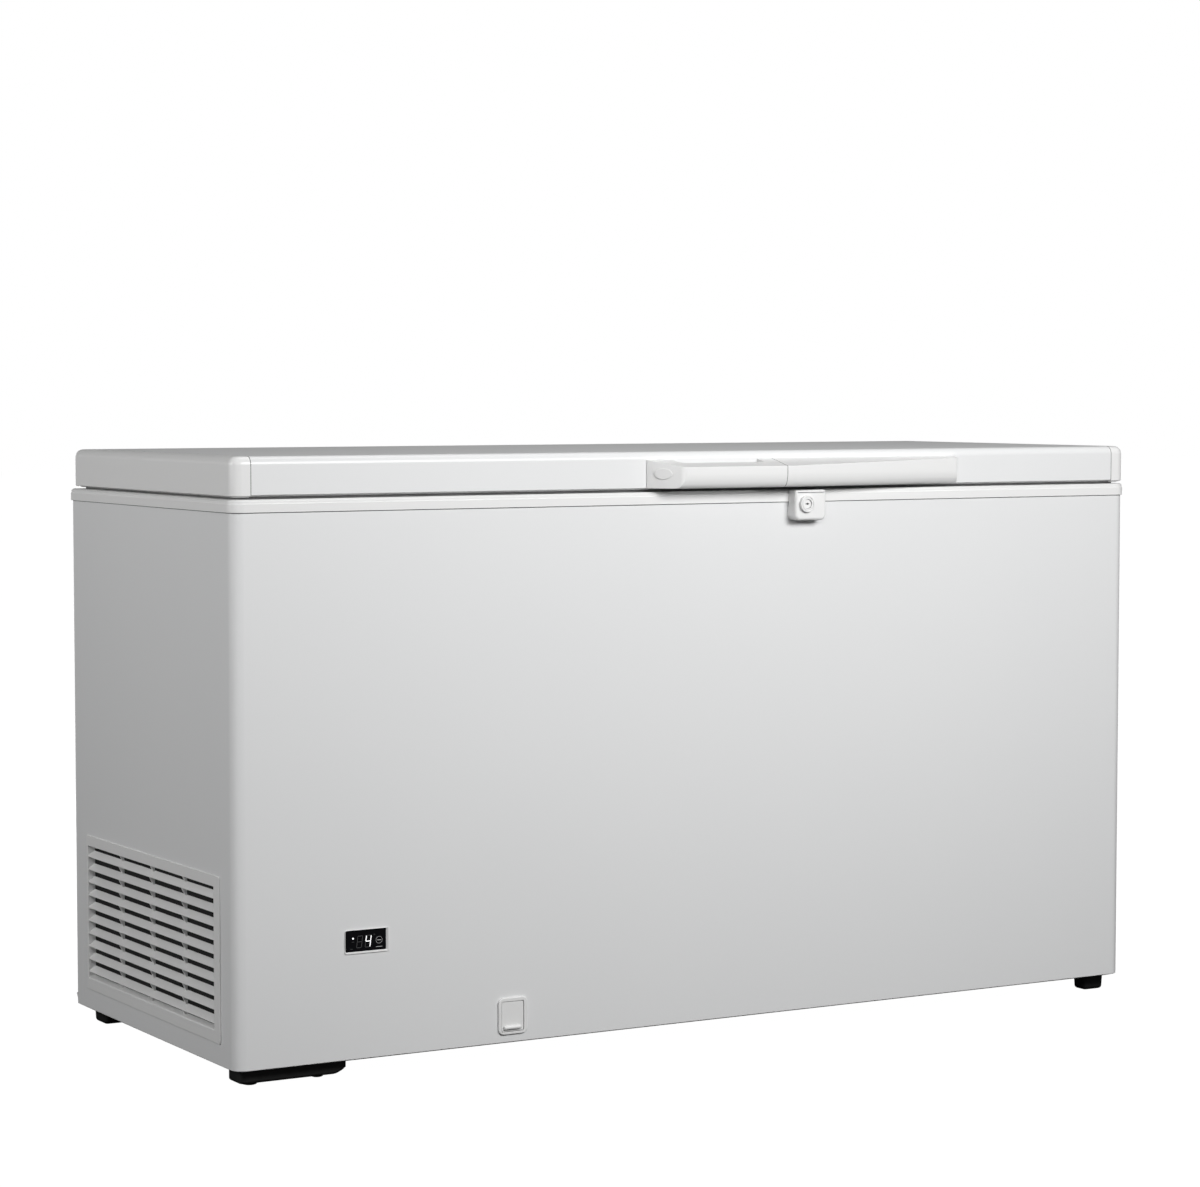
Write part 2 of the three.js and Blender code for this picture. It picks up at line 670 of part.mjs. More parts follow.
function drainFlap() {
  const half = DRAIN_WIDTH / 2 - DRAIN_BORDER - GAP;
  const low = drain.z - DRAIN_TALL / 2 + DRAIN_BORDER + GAP;
  const y0 = flapPivot.y - FLAP_PIN_RADIUS;
  const outline = rounded([
    [drain.x - half, low, FLAP_CORNER],
    [drain.x + half, low, FLAP_CORNER],
    [drain.x + half, flapPivot.z, FLAP_SHOULDER],
    [drain.x - half, flapPivot.z, FLAP_SHOULDER],
  ]);
  const plate = prismY(outline, y0, y0 + FLAP_SKIN);
  const rollHalf = half - FLAP_SHOULDER;
  const pin = circle(flapPivot.y, flapPivot.z, FLAP_PIN_RADIUS, 12);
  const roll = prismX(pin, drain.x - rollHalf, drain.x + rollHalf);
  const lipLow = low + FLAP_LIP_RISE;
  const lipShape = rounded([
    [y0 + 1, lipLow, 0],
    [y0 - FLAP_LIP, lipLow, FLAP_LIP_ROUND],
    [y0 - FLAP_LIP, lipLow + FLAP_LIP_SKIN, FLAP_LIP_ROUND],
    [y0 + 1, lipLow + FLAP_LIP_ROOT, 0],
  ]);
  const lipHalf = half - FLAP_LIP_INSET;
  const lip = prismX(lipShape, drain.x - lipHalf, drain.x + lipHalf);
  return union([plate, roll, lip]);
}

function drainTube() {
  return tubeForm(TUBE_RADIUS, 0).subtract(tubeForm(TUBE_BORE, 3));
}

function drainPlug() {
  const z = CAVITY_FLOOR + GAP;
  const stem = TUBE_BORE - 3 * GAP;
  const profile = [
    [0, z - 9], [stem - 1, z - 9], [stem, z - 8], [stem, z], [PLUG_FLANGE, z], [PLUG_FLANGE, z + 2],
    [5, z + 3], [4, z + 10], [6, z + 12], [6, z + 15], [0, z + 15],
  ];
  return turned(profile, 16).translate([floorDrain.x, floorDrain.y, 0]);
}

// ---- Lock ----
const lock = {
  x0: LOCK_X - LOCK_WIDTH / 2,
  x1: LOCK_X + LOCK_WIDTH / 2,
  z0: BOTTOM + LOCK_LOW,
  z1: BOTTOM + LOCK_LOW + LOCK_TALL,
  barrelZ: BOTTOM + BARREL_HEIGHT,
};
const BOLT_BACK = FRONT - RIM_PROUD - 2 * GAP - LOCK_BACK_SKIN;

function lockHousing() {
  const shape = rectangle(lock.x0, lock.x1, 0, lock.z1 - lock.z0, LOCK_RADIUS);
  const face = domedSlab(shape, 0, LOCK_PROUD - GAP, LOCK_EDGE, 3);
  const body = face.rotate([90, 0, 0]).translate([0, FRONT - GAP, lock.z0]);
  const rimSpace = block(lock.x0 - 1, lock.x1 + 1, FRONT - RIM_PROUD - GAP, REAR, RIM_LOW - GAP, LID_TOP);
  const wellHalf = BOLT_WIDTH / 2 + 1;
  const wellFront = BOLT_BACK - BOLT_SKIN - GAP;
  const boltWell = block(LOCK_X - wellHalf, LOCK_X + wellHalf, wellFront, BOLT_BACK + GAP, lock.z0 + 6, LID_TOP);
  const barrelHole = prismY(
    circle(BARREL_X, lock.barrelZ, COLLAR_SLEEVE + GAP), FRONT - LOCK_PROUD - 1, BOLT_BACK - BOLT_SKIN,
  );
  return cut(body, [rimSpace, boltWell, barrelHole]);
}

function lockCollar() {
  const y = FRONT - LOCK_PROUD;
  const tube = (radius, y0, y1) => prismY(circle(BARREL_X, lock.barrelZ, radius), y0, y1);
  const ring = tube(COLLAR_RADIUS, y - COLLAR_PROUD, y - GAP);
  const sleeve = tube(COLLAR_SLEEVE, y - 1, y + COLLAR_LENGTH);
  const bore = tube(BARREL_RADIUS + BARREL_CLEARANCE, y - 2 * COLLAR_PROUD, y + COLLAR_LENGTH + 1);
  return ring.add(sleeve).subtract(bore);
}

function lockBarrel() {
  const y = FRONT - LOCK_PROUD - BARREL_PROUD;
  const plug = prismY(circle(BARREL_X, lock.barrelZ, BARREL_RADIUS), y, y + BARREL_LENGTH);
  const slots = [KEYWAY, BITTING].map(([width, tall]) => block(
    BARREL_X - width / 2, BARREL_X + width / 2, y - 1, y + BARREL_LENGTH * 0.7,
    lock.barrelZ - tall / 2, lock.barrelZ + tall / 2,
  ));
  return cut(plug, slots);
}

function lockBolt() {
  const z1 = lock.z1 - GAP;
  const bar = (width, z0) => block(
    LOCK_X - width / 2, LOCK_X + width / 2, BOLT_BACK - BOLT_SKIN, BOLT_BACK, z0, z1,
  );
  const shank = bar(BOLT_WIDTH, lock.z0 + 8).subtract(bar(2 * BOLT_WIDTH, z1 - BOLT_TIP));
  return shank.add(bar(BOLT_TIP_WIDTH, z1 - 2 * BOLT_TIP));
}

// ---- Feet ----
const skid = {
  x0: LEFT + SKID_INSET,
  y0: FRONT + SKID_SET_BACK,
  z1: BOTTOM + 1 - GAP,
};

function frontSkid() {
  const x1 = skid.x0 + SKID_LENGTH;
  const side = rounded([
    [skid.x0, skid.z1, 0],
    [skid.x0, SKID_PAD_DROP, 7],
    [x1 - SKID_CHAMFER[0], SKID_PAD_DROP, 12],
    [x1, SKID_PAD_DROP + SKID_CHAMFER[1], 5],
    [x1, skid.z1, 0],
  ]);
  const hull = prismY(side, skid.y0, skid.y0 + SKID_DEPTH);
  const plan = prismZ(rectangle(skid.x0, x1, skid.y0, skid.y0 + SKID_DEPTH, 12), 0, FOOT_HEIGHT * 2);
  return hull.intersect(plan);
}

function skidPad(index) {
  const radius = SKID_PAD_RADII[index];
  const top = SKID_PAD_DROP - GAP;
  return turned([[0, 0], [radius * 0.62, 0], [radius * 0.9, top * 0.45], [radius, top], [0, top]], 20);
}

function blockFoot() {
  const plan = rectangle(-FOOT_WIDTH / 2, FOOT_WIDTH / 2, -FOOT_DEPTH / 2, FOOT_DEPTH / 2, FOOT_CORNER);
  const upturned = domedSlab(plan, 0, skid.z1, FOOT_EDGE, 4);
  return upturned.mirror([0, 0, 1]).translate([0, 0, skid.z1]);
}

// ---- Hinges: leaf profiles are drawn in (y, z) and run along x ----
const HINGE_SIDES = 20;
const hingeRound = (radius, half) => prismX(circle(PIVOT_Y, PIVOT_Z, radius, HINGE_SIDES), -half, half);
const pinBore = () => hingeRound(PIN_RADIUS + PIN_CLEARANCE, HINGE_WIDTH);
const KNUCKLE_HALF = HINGE_WIDTH / 6;

function hingeBase() {
  const half = HINGE_WIDTH / 2;
  const barrel = hingeRound(KNUCKLE_RADIUS, half);
  const web = prismX(rounded([
    [REAR + GAP, RIM_LOW - LEAF_DROP],
    [REAR + GAP + HINGE_SKIN, RIM_LOW - LEAF_DROP],
    [REAR + GAP + HINGE_SKIN, RIM_LOW - 8],
    [PIVOT_Y + KNUCKLE_RADIUS - 1, PIVOT_Z - 3],
    [PIVOT_Y - KNUCKLE_RADIUS + 1, PIVOT_Z - 3],
    [REAR + GAP, RIM_TOP - 4],
  ]), -half, half);
  const gapHalf = KNUCKLE_HALF + GAP;
  const gapLow = PIVOT_Z - KNUCKLE_RADIUS - 2 * GAP;
  const middle = block(-gapHalf, gapHalf, REAR, PIVOT_Y + 2 * KNUCKLE_RADIUS, gapLow, LID_TOP);
  return cut(union([barrel, web]), [middle, pinBore()]);
}

function hingeArm() {
  const half = HINGE_WIDTH / 2;
  const barrel = hingeRound(KNUCKLE_RADIUS, KNUCKLE_HALF);
  const neck = prismX(rounded([
    [REAR + GAP, LID_LOW + 6],
    [PIVOT_Y - 3, PIVOT_Z + 3],
    [PIVOT_Y + 4, PIVOT_Z + 3],
    [REAR + GAP + HINGE_SKIN, LID_LOW + 16],
    [REAR + GAP, LID_LOW + 16],
  ]), -KNUCKLE_HALF, KNUCKLE_HALF);
  const leaf = rectangle(REAR + GAP, REAR + GAP + HINGE_SKIN, LID_LOW + 10, LID_LOW + LEAF_RISE);
  const plate = prismX(leaf, -half, half);
  return cut(union([barrel, neck, plate]), [pinBore()]);
}

function hingePin() {
  return hingeRound(PIN_RADIUS, HINGE_WIDTH / 2 + 2);
}

// ---- Lid ----
function lidForm(inset, low) {
  const radius = Math.max(LID_CORNER_RADIUS - inset, 1);
  const shape = rectangle(LEFT + inset, RIGHT - inset, FRONT + inset, REAR - inset, radius, 5);
  return domedSlab(shape, low, LID_TOP - inset, Math.max(LID_EDGE_RADIUS - inset, 0.8), 5);
}

function lidSlab(x0, x1) {
  return block(x0, x1, 2 * FRONT, 2 * REAR, LID_LOW - 20, LID_TOP + 20);
}

const SEAM_LEFT = LEFT + CAP_LENGTH;
const SEAM_RIGHT = RIGHT - CAP_LENGTH;

function lidSkin() {
  const shell = lidForm(0, LID_LOW).subtract(lidForm(LID_SKIN, LID_LOW - 1));
  return shell.intersect(lidSlab(SEAM_LEFT + GAP, SEAM_RIGHT - GAP));
}

function lidEndCap(side) {
  const shell = lidForm(0, LID_LOW - CAP_TIP).subtract(lidForm(CAP_SKIN, LID_LOW - CAP_TIP - 1));
  const slab = side < 0 ? lidSlab(LEFT - 5, SEAM_LEFT) : lidSlab(SEAM_RIGHT, RIGHT + 5);
  return shell.intersect(slab);
}

const linerLow = LID_LOW + 1;
const linerTop = linerLow + LID_LINER_SKIN;

function plugBlock(grow, z0, z1) {
  const inset = RIM_LIP + PLUG_MARGIN - grow;
  return block(
    CAVITY_LEFT + inset, CAVITY_RIGHT - inset, CAVITY_FRONT + inset, CAVITY_BACK - inset, z0, z1,
  );
}

function lidLiner() {
  const inset = CAP_SKIN + GAP;
  const plate = prismZ(rectangle(
    LEFT + inset, RIGHT - inset, FRONT + inset, REAR - inset, LID_CORNER_RADIUS - inset,
  ), linerLow, linerTop);
  const plug = plugBlock(0, LID_LOW - PLUG_DEPTH, linerTop);
  const hollow = plugBlock(-LID_LINER_SKIN, LID_LOW - PLUG_DEPTH + LID_LINER_SKIN, linerTop + 1);
  return plate.add(plug).subtract(hollow);
}

function lidFoam() {
  const upper = lidForm(CAP_SKIN + GAP, linerTop + GAP);
  const grow = -LID_LINER_SKIN - GAP;
  const lower = plugBlock(grow, LID_LOW - PLUG_DEPTH + LID_LINER_SKIN + GAP, linerTop + 2 * GAP);
  return upper.add(lower);
}

function lidGasket() {
  const z0 = RIM_TOP + GAP;
  const z1 = linerLow - GAP;
  const ring = (inset) => rectangle(
    LEFT + inset, RIGHT - inset, FRONT + inset, REAR - inset, Math.max(LID_CORNER_RADIUS - inset, 2),
  );
  const band = prismZ(ring(GASKET_INSET), z0, z1);
  return band.subtract(prismZ(ring(GASKET_INSET + GASKET_WIDTH), z0 - 1, z1 + 1));
}

// ---- Handle: plan outlines in (x, y), rolled under at the lower front, sloped on top ----
function handleForm() {
  const y = (depth) => FRONT - depth;
  const behind = 3 * HANDLE_ROLL_IN;
  const taper = (HANDLE_REACH - HANDLE_END_REACH) / (HANDLE_RIGHT - HANDLE_TAPER_START);
  const plan = rounded([
    [HANDLE_LEFT, FRONT + behind, 0],
    [HANDLE_LEFT, y(2), 0],
    [HANDLE_LEFT + HANDLE_WEDGE_RUN, y(HANDLE_REACH), 14],
    [HANDLE_TAPER_START, y(HANDLE_REACH), 90],
    [HANDLE_RIGHT, y(HANDLE_END_REACH), 6],
    [HANDLE_RIGHT, FRONT + behind, 0],
  ], 5);
  const ends = HANDLE_ROLL_IN + 2;
  const shape = rounded([
    [HANDLE_LEFT - ends, FRONT + behind, 0],
    [HANDLE_LEFT - ends, y(HANDLE_REACH), 0],
    [HANDLE_TAPER_START, y(HANDLE_REACH), 90],
    [HANDLE_RIGHT + ends, y(HANDLE_END_REACH - ends * taper), 0],
    [HANDLE_RIGHT + ends, FRONT + behind, 0],
  ], 5);
  const geometry = new THREE.ExtrudeGeometry(shape, {
    depth: HANDLE_TALL,
    bevelEnabled: true,
    bevelThickness: HANDLE_ROLL,
    bevelSize: HANDLE_ROLL_IN,
    bevelOffset: -HANDLE_ROLL_IN,
    bevelSegments: 5,
  });
  geometry.translate(0, 0, LID_LOW + HANDLE_ROLL);
  const reach = HANDLE_REACH + 20;
  const top = prismX(rounded([
    [FRONT + behind + 1, LID_LOW + HANDLE_TALL],
    [FRONT, LID_LOW + HANDLE_TALL],
    [FRONT - reach, LID_LOW + HANDLE_TALL - reach * HANDLE_SLOPE],
    [FRONT - reach, LID_TOP + 80],
    [FRONT + behind + 1, LID_TOP + 80],
  ]), HANDLE_LEFT - 30, HANDLE_RIGHT + 30);
  const lidSpace = block(LEFT, RIGHT, FRONT - GAP, REAR, 0, LID_TOP + 90);
  const straight = prismZ(plan, LID_LOW, LID_LOW + HANDLE_TALL);
  return cut(toSolid(geometry).intersect(straight), [top, lidSpace]);
}

function handleGrip() {
  const fingers = prismZ(rounded([
    [FINGER_LEFT, FRONT + 5, 0],
    [FINGER_LEFT, FRONT - FINGER_DEPTH, 9],
    [FINGER_RIGHT, FRONT - FINGER_DEPTH, 2],
    [FINGER_RIGHT, FRONT + 5, 0],
  ]), LID_LOW - 5, LID_TOP + 5);
  const cover = block(HANDLE_SEAM - GAP / 2, RIGHT, 2 * FRONT, REAR, 0, LID_TOP + 90);
  return cut(handleForm(), [fingers, cover]);
}

function handleCover() {
  const grip = block(LEFT, HANDLE_SEAM + GAP / 2, 2 * FRONT, REAR, 0, LID_TOP + 90);
  const boltSlot = block(
    LOCK_X - BOLT_WIDTH / 2 - 2, LOCK_X + BOLT_WIDTH / 2 + 2, BOLT_BACK - BOLT_SKIN - 2, FRONT - GAP - 2,
    LID_LOW - 1, LID_LOW + BOLT_TRAVEL + 2,
  );
  return cut(handleForm(), [grip, boltSlot]);
}

function handleBadge() {
  const run = HANDLE_WEDGE_RUN;
  const rise = HANDLE_REACH - 2;
  const angle = Math.atan2(rise, run);
  const plate = prismZ(circle(0, 0, 1, 24), 0, 1.2).scale([BADGE_RADII[0], BADGE_RADII[1], 1]);
  const along = 0.44;
  const middle = [HANDLE_LEFT + run * along, FRONT - 2 - rise * along, LID_LOW + HANDLE_TALL * 0.51];
  return plate.rotate([90, 0, 0]).rotate([0, 0, -THREE.MathUtils.radToDeg(angle)]).translate([
    middle[0] - GAP * Math.sin(angle), middle[1] - GAP * Math.cos(angle), middle[2],
  ]);
}

// ---- Compressor bay ----
const trayTop = PANEL_LOW + TRAY_SHEET;
const compressorX = (LEFT + BAY_RIGHT) / 2 + 4;
const plateLow = trayTop + GAP + GROMMET_TALL + GAP;
const GROMMET_SPREAD = [78, 62];
const CORNERS = [[-1, -1], [1, -1], [-1, 1], [1, 1]];
const condenserY = FRONT + CONDENSER_FROM_FRONT;
const fanY = condenserY + CONDENSER_THICK / 2 + FAN_STAND_OFF;
const relayY = fanY + FAN_MOTOR_BACK + RELAY_CLEARANCE + RELAY_COVER + RELAY_DEPTH / 2;
const shellDepth = COMPRESSOR_RADIUS * COMPRESSOR_SQUASH;
const compressorY = relayY + RELAY_DEPTH / 2 + RELAY_STAND_OFF + shellDepth * COMPRESSOR_SEAM;

function compressorShell() {
  const z = plateLow + 3;
  const h = COMPRESSOR_TALL;
  const r = COMPRESSOR_RADIUS;
  const shell = turned([
    [0, z - 1], [r * 0.55, z - 1], [r * 0.86, z + h * 0.12], [r * 0.98, z + h * 0.3], [r, z + h * 0.44],
    [r * COMPRESSOR_SEAM, z + h * 0.45], [r * COMPRESSOR_SEAM, z + h * 0.5], [r, z + h * 0.51],
    [r * 0.97, z + h * 0.7], [r * 0.8, z + h * 0.9], [r * 0.45, z + h * 0.99], [0, z + h],
  ]).scale([1, COMPRESSOR_SQUASH, 1]);
  const plate = prismZ(rectangle(-96, 96, -80, 80, 12), plateLow, plateLow + 3);
  const studs = CORNERS.map(([sx, sy]) => {
    const section = circle(sx * GROMMET_SPREAD[0], sy * GROMMET_SPREAD[1], STUD_RADIUS, 8);
    return prismZ(section, plateLow - 6, plateLow + 8);
  });
  return union([shell, plate, ...studs]);
}

function grommet() {
  const r = GROMMET_RADIUS;
  const h = GROMMET_TALL;
  const bore = STUD_RADIUS + GAP;
  return turned([[bore, 0], [r, 0], [r * 0.8, h * 0.5], [r, h], [bore, h], [bore, 0]], 12);
}

function relayBox() {
  const x = RELAY_WIDTH / 2;
  const y = RELAY_DEPTH / 2;
  const lip = 2;
  const shell = block(-x, x, -y, y, 0, RELAY_TALL);
  const cover = block(-x - lip, x + lip, -y - RELAY_COVER, 1 - y, -lip, RELAY_TALL + lip);
  return shell.add(cover);
}

function condenserCore() {
  const x0 = LEFT + 40;
  const x1 = BAY_RIGHT - 24;
  const corners = [[x0, -CONDENSER_THICK / 2], [x1, -CONDENSER_THICK / 2], [x1, CONDENSER_THICK / 2]];
  const pitch = (x1 - x0) / CONDENSER_FINS;
  for (let i = CONDENSER_FINS - 1; i > 0; i -= 1) {
    const x = x0 + i * pitch;
    corners.push([x + pitch * 0.35, CONDENSER_THICK / 2]);
    corners.push([x + pitch * 0.35, -CONDENSER_THICK / 2 + 3]);
    corners.push([x - pitch * 0.35, -CONDENSER_THICK / 2 + 3]);
    corners.push([x - pitch * 0.35, CONDENSER_THICK / 2]);
  }
  corners.push([x0, CONDENSER_THICK / 2]);
  return prismZ(rounded(corners), trayTop + GAP, trayTop + GAP + CONDENSER_TALL);
}

const fanCentre = [compressorX, fanY, trayTop + FAN_RISE];

function fanBracket() {
  const side = FAN_RADIUS + 14;
  const armFront = FAN_SHROUD - FAN_PLATE;
  const plate = prismY(rectangle(-side, side, -side, side, 10), -FAN_PLATE, 0);
  const ring = prismY(circle(0, 0, FAN_RADIUS + 7), -FAN_PLATE, FAN_SHROUD);
  const hole = prismY(circle(0, 0, FAN_RADIUS + 4), -FAN_PLATE - 1, FAN_SHROUD + 1);
  const shroud = plate.add(ring).subtract(hole);
  const arms = [45, 135].map((angle) => {
    const arm = block(-FAN_RADIUS - 5, FAN_RADIUS + 5, armFront, FAN_SHROUD, -4, 4);
    return arm.rotate([0, angle, 0]);
  });
  const seat = prismY(circle(0, 0, FAN_HUB + 6), armFront, FAN_SHROUD);
  return union([shroud, ...arms, seat]);
}

function fanMotor() {
  return prismY(circle(0, 0, FAN_HUB + 4), FAN_SHROUD + GAP, FAN_MOTOR_BACK);
}

function fanRotor() {
  const hub = prismY(circle(0, 0, FAN_HUB), -2, 10.4);
  const blades = [];
  for (let i = 0; i < FAN_BLADES; i += 1) {
    const blade = block(FAN_HUB - 3, FAN_RADIUS, -0.9, 0.9, -17, 17).rotate([28, 0, 0]);
    blades.push(blade.translate([0, 2, 0]).rotate([0, (360 / FAN_BLADES) * i, 0]));
  }
  const sweep = prismY(circle(0, 0, FAN_RADIUS), -12, 9.8);
  return hub.add(union(blades).intersect(sweep));
}

function filterDrier() {
  return turned([
    [0, -58], [3, -58], [3, -44], [10, -34], [10, 34], [3, 44], [3, 58], [0, 58],
  ], 12);
}

function dischargePipe() {
  const top = plateLow + COMPRESSOR_TALL * 0.55;
  const x = compressorX + COMPRESSOR_RADIUS + 8;
  const y = compressorY;
  return rodAlong([
    [x, y, top], [x + 12, y, top + 2], [x + 14, y - 14, top + 8],
    [x + 14, y - 90, top + 40], [x + 8, condenserY + 44, trayTop + CONDENSER_TALL + 22],
    [x - 10, condenserY + 6, trayTop + CONDENSER_TALL + 26],
    [x - 20, condenserY, trayTop + CONDENSER_TALL + 14], [x - 20, condenserY, trayTop + CONDENSER_TALL + 3],
  ], 3.2, PIPE_SIDES, 18);
}

function suctionPipe() {
  const top = plateLow + COMPRESSOR_TALL * 0.6;
  const y = compressorY + shellDepth + 8;
  return rodAlong([
    [compressorX, y, top], [compressorX, y + 12, top + 4], [compressorX + 8, y + 22, top + 20],
    [compressorX + 30, y + 26, top + 60], [compressorX + 60, y + 26, BAY_TOP - 24],
    [compressorX + 66, y + 26, BAY_TOP - 2],
  ], 4, PIPE_SIDES, 14);
}

// ---- Baskets ----
const basketHalfSpan = CAVITY_BACK - RIM_LIP - GAP - BASKET_SIDE_GAP;
const hangerZ = LEDGE_TOP + GAP;

function basket() {
  const w = BASKET_WIRE;
  const top = hangerZ - 14;
  const low = top - BASKET_DEPTH;
  const x1 = BASKET_LENGTH / 2;
  const y1 = basketHalfSpan;
  const ring = (z, thick) => block(-x1, x1, -y1, y1, z, z + thick).subtract(
    block(-x1 + w, x1 - w, -y1 + w, y1 - w, z - 1, z + thick + 1),
  );
  const wires = [ring(top - 8, 8), ring(low, w)];
  for (let i = 1; i < BASKET_LENGTH_WIRES; i += 1) {
    const x = -x1 + (2 * x1 * i) / BASKET_LENGTH_WIRES;
    const hoop = block(x - w / 2, x + w / 2, -y1, y1, low, top);
    wires.push(hoop.subtract(block(x - w, x + w, -y1 + w, y1 - w, low + w, top + 1)));
  }
  for (let i = 1; i < BASKET_WIDTH_WIRES; i += 1) {
    const y = -y1 + (2 * y1 * i) / BASKET_WIDTH_WIRES;
    const hoop = block(-x1, x1, y - w / 2, y + w / 2, low, top);
    wires.push(hoop.subtract(block(-x1 + w, x1 - w, y - w, y + w, low + w, top + 1)));
  }
  for (const sy of [-1, 1]) {
    for (const sx of [-1, 1]) {
      const x = sx * (x1 - 40);
      const inner = sy * (y1 - w);
      const face = sy * y1;
      const tip = sy * (CAVITY_BACK + LEDGE_WIDTH - 5);
      const riser = block(x - 3, x + 3, Math.min(inner, face), Math.max(inner, face), top - 8, hangerZ + w);
      const hook = block(x - 3, x + 3, Math.min(inner, tip), Math.max(inner, tip), hangerZ, hangerZ + w);
      wires.push(riser.add(hook));
    }
  }
  return union(wires);
}

// ---- Assembly ----
const freezer = new THREE.Group();
freezer.name = 'chest_freezer';
const cabinet = new THREE.Group();
cabinet.name = 'cabinet';
const lid = new THREE.Group();
lid.name = 'lid';
freezer.add(cabinet, lid);

place(cabinet, 'outer_wrapper', outerWrapper(), 'whiteSteel');
place(cabinet, 'rear_panel', rearPanel(), 'whiteSteel');
place(cabinet, 'base_panel', basePanel(), 'zinc');
place(cabinet, 'compressor_tray', compressorTray(), 'zinc');
place(cabinet, 'cabinet_foam', cabinetFoam(), 'foam');
place(cabinet, 'inner_liner', innerLiner(), 'linerWhite');
place(cabinet, 'top_rim', topRim(), 'whitePlastic');
place(cabinet, 'side_louvre', sideLouvre(), 'whitePlastic');
place(cabinet, 'display_bezel', displayBezel(), 'whitePlastic');
place(cabinet, 'display_lens', displayLens(), 'blackGloss');
place(cabinet, 'display_module', displayModule(), 'blackPlastic');
place(cabinet, 'drain_frame', drainFrame(), 'whitePlastic');
place(cabinet, 'drain_flap', drainFlap(), 'whitePlastic');
place(cabinet, 'drain_tube', drainTube(), 'whitePlastic');
place(cabinet, 'drain_plug', drainPlug(), 'whitePlastic');
place(cabinet, 'lock_housing', lockHousing(), 'whitePlastic');
place(cabinet, 'lock_collar', lockCollar(), 'whitePlastic');
place(cabinet, 'lock_barrel', lockBarrel(), 'whitePlastic');
place(cabinet, 'lock_bolt', lockBolt(), 'zinc');

place(cabinet, 'front_left_skid', frontSkid(), 'blackPlastic');
SKID_PADS.forEach((offset, i) => {
  const position = [skid.x0 + offset, skid.y0 + SKID_DEPTH / 2, 0];
  place(cabinet, `skid_pad_${i + 1}`, skidPad(i), 'rubber', position);
});
const footX = [LEFT + FOOT_INSETS[0], RIGHT - FOOT_INSETS[1]];
const footY = [FRONT + FOOT_SET_BACKS[0], REAR - FOOT_SET_BACKS[1]];
place(cabinet, 'front_right_foot', blockFoot(), 'blackPlastic', [footX[1], footY[0], 0]);
place(cabinet, 'rear_left_foot', blockFoot(), 'blackPlastic', [footX[0], footY[1], 0]);
place(cabinet, 'rear_right_foot', blockFoot(), 'blackPlastic', [footX[1], footY[1], 0]);

place(cabinet, 'compressor', compressorShell(), 'blackEnamel', [compressorX, compressorY, 0]);
CORNERS.forEach(([sx, sy], i) => {
  const x = compressorX + sx * GROMMET_SPREAD[0];
  const y = compressorY + sy * GROMMET_SPREAD[1];
  place(cabinet, `compressor_grommet_${i + 1}`, grommet(), 'rubber', [x, y, trayTop + GAP]);
});
place(cabinet, 'start_relay_box', relayBox(), 'blackPlastic', [compressorX, relayY, plateLow + RELAY_RISE]);
place(cabinet, 'condenser_core', condenserCore(), 'aluminium', [0, condenserY, 0]);
place(cabinet, 'fan_bracket', fanBracket(), 'zinc', fanCentre);
place(cabinet, 'fan_motor', fanMotor(), 'blackPlastic', fanCentre);
place(cabinet, 'fan_rotor', fanRotor(), 'aluminium', fanCentre);
place(cabinet, 'filter_drier', filterDrier(), 'copper', [LEFT + 30, REAR - 60, trayTop + 130]);
place(cabinet, 'discharge_pipe', dischargePipe(), 'copper');
place(cabinet, 'suction_pipe', suctionPipe(), 'copper');

const basketX = CAVITY_RIGHT - RIM_LIP - BASKET_FROM_END - BASKET_LENGTH / 2;
place(cabinet, 'basket_left', basket(), 'whiteSteel', [-basketX, 0, 0]);
place(cabinet, 'basket_right', basket(), 'whiteSteel', [basketX, 0, 0]);

for (const [side, name] of [[-1, 'left'], [1, 'right']]) {
  const x = side * (RIGHT - HINGE_FROM_END);
  place(cabinet, `hinge_base_${name}`, hingeBase(), 'zinc', [x, 0, 0]);
  place(cabinet, `hinge_pin_${name}`, hingePin(), 'chrome', [x, 0, 0]);
  place(lid, `hinge_arm_${name}`, hingeArm(), 'zinc', [x, 0, 0]);
  place(lid, `lid_end_cap_${name}`, lidEndCap(side), 'whitePlastic');
}
place(lid, 'lid_skin', lidSkin(), 'whiteSteel');
place(lid, 'lid_foam', lidFoam(), 'foam');
place(lid, 'lid_liner', lidLiner(), 'linerWhite');
place(lid, 'lid_gasket', lidGasket(), 'greyGasket');
place(lid, 'handle_grip', handleGrip(), 'whitePlastic');
place(lid, 'handle_cover', handleCover(), 'whitePlastic');
place(lid, 'handle_badge', handleBadge(), 'whitePlastic');

// The origin is the middle of the whole outline on the floor: handle in front, hinges behind.
freezer.position.y = (HANDLE_REACH - PIVOT_BEHIND - KNUCKLE_RADIUS) / 2;

export default freezer;
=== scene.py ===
# %% [markdown]
# # A chest freezer
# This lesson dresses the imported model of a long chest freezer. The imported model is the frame:
# it holds every sub-part at its real place, in metres, and its bodies move with the joints.
# Each cell makes one piece or one finish, and every piece rides on one of the frame's bodies.

# %% Load the frame
import math
from contextlib import contextmanager

import bmesh
import bpy
from mathutils import Matrix, Vector


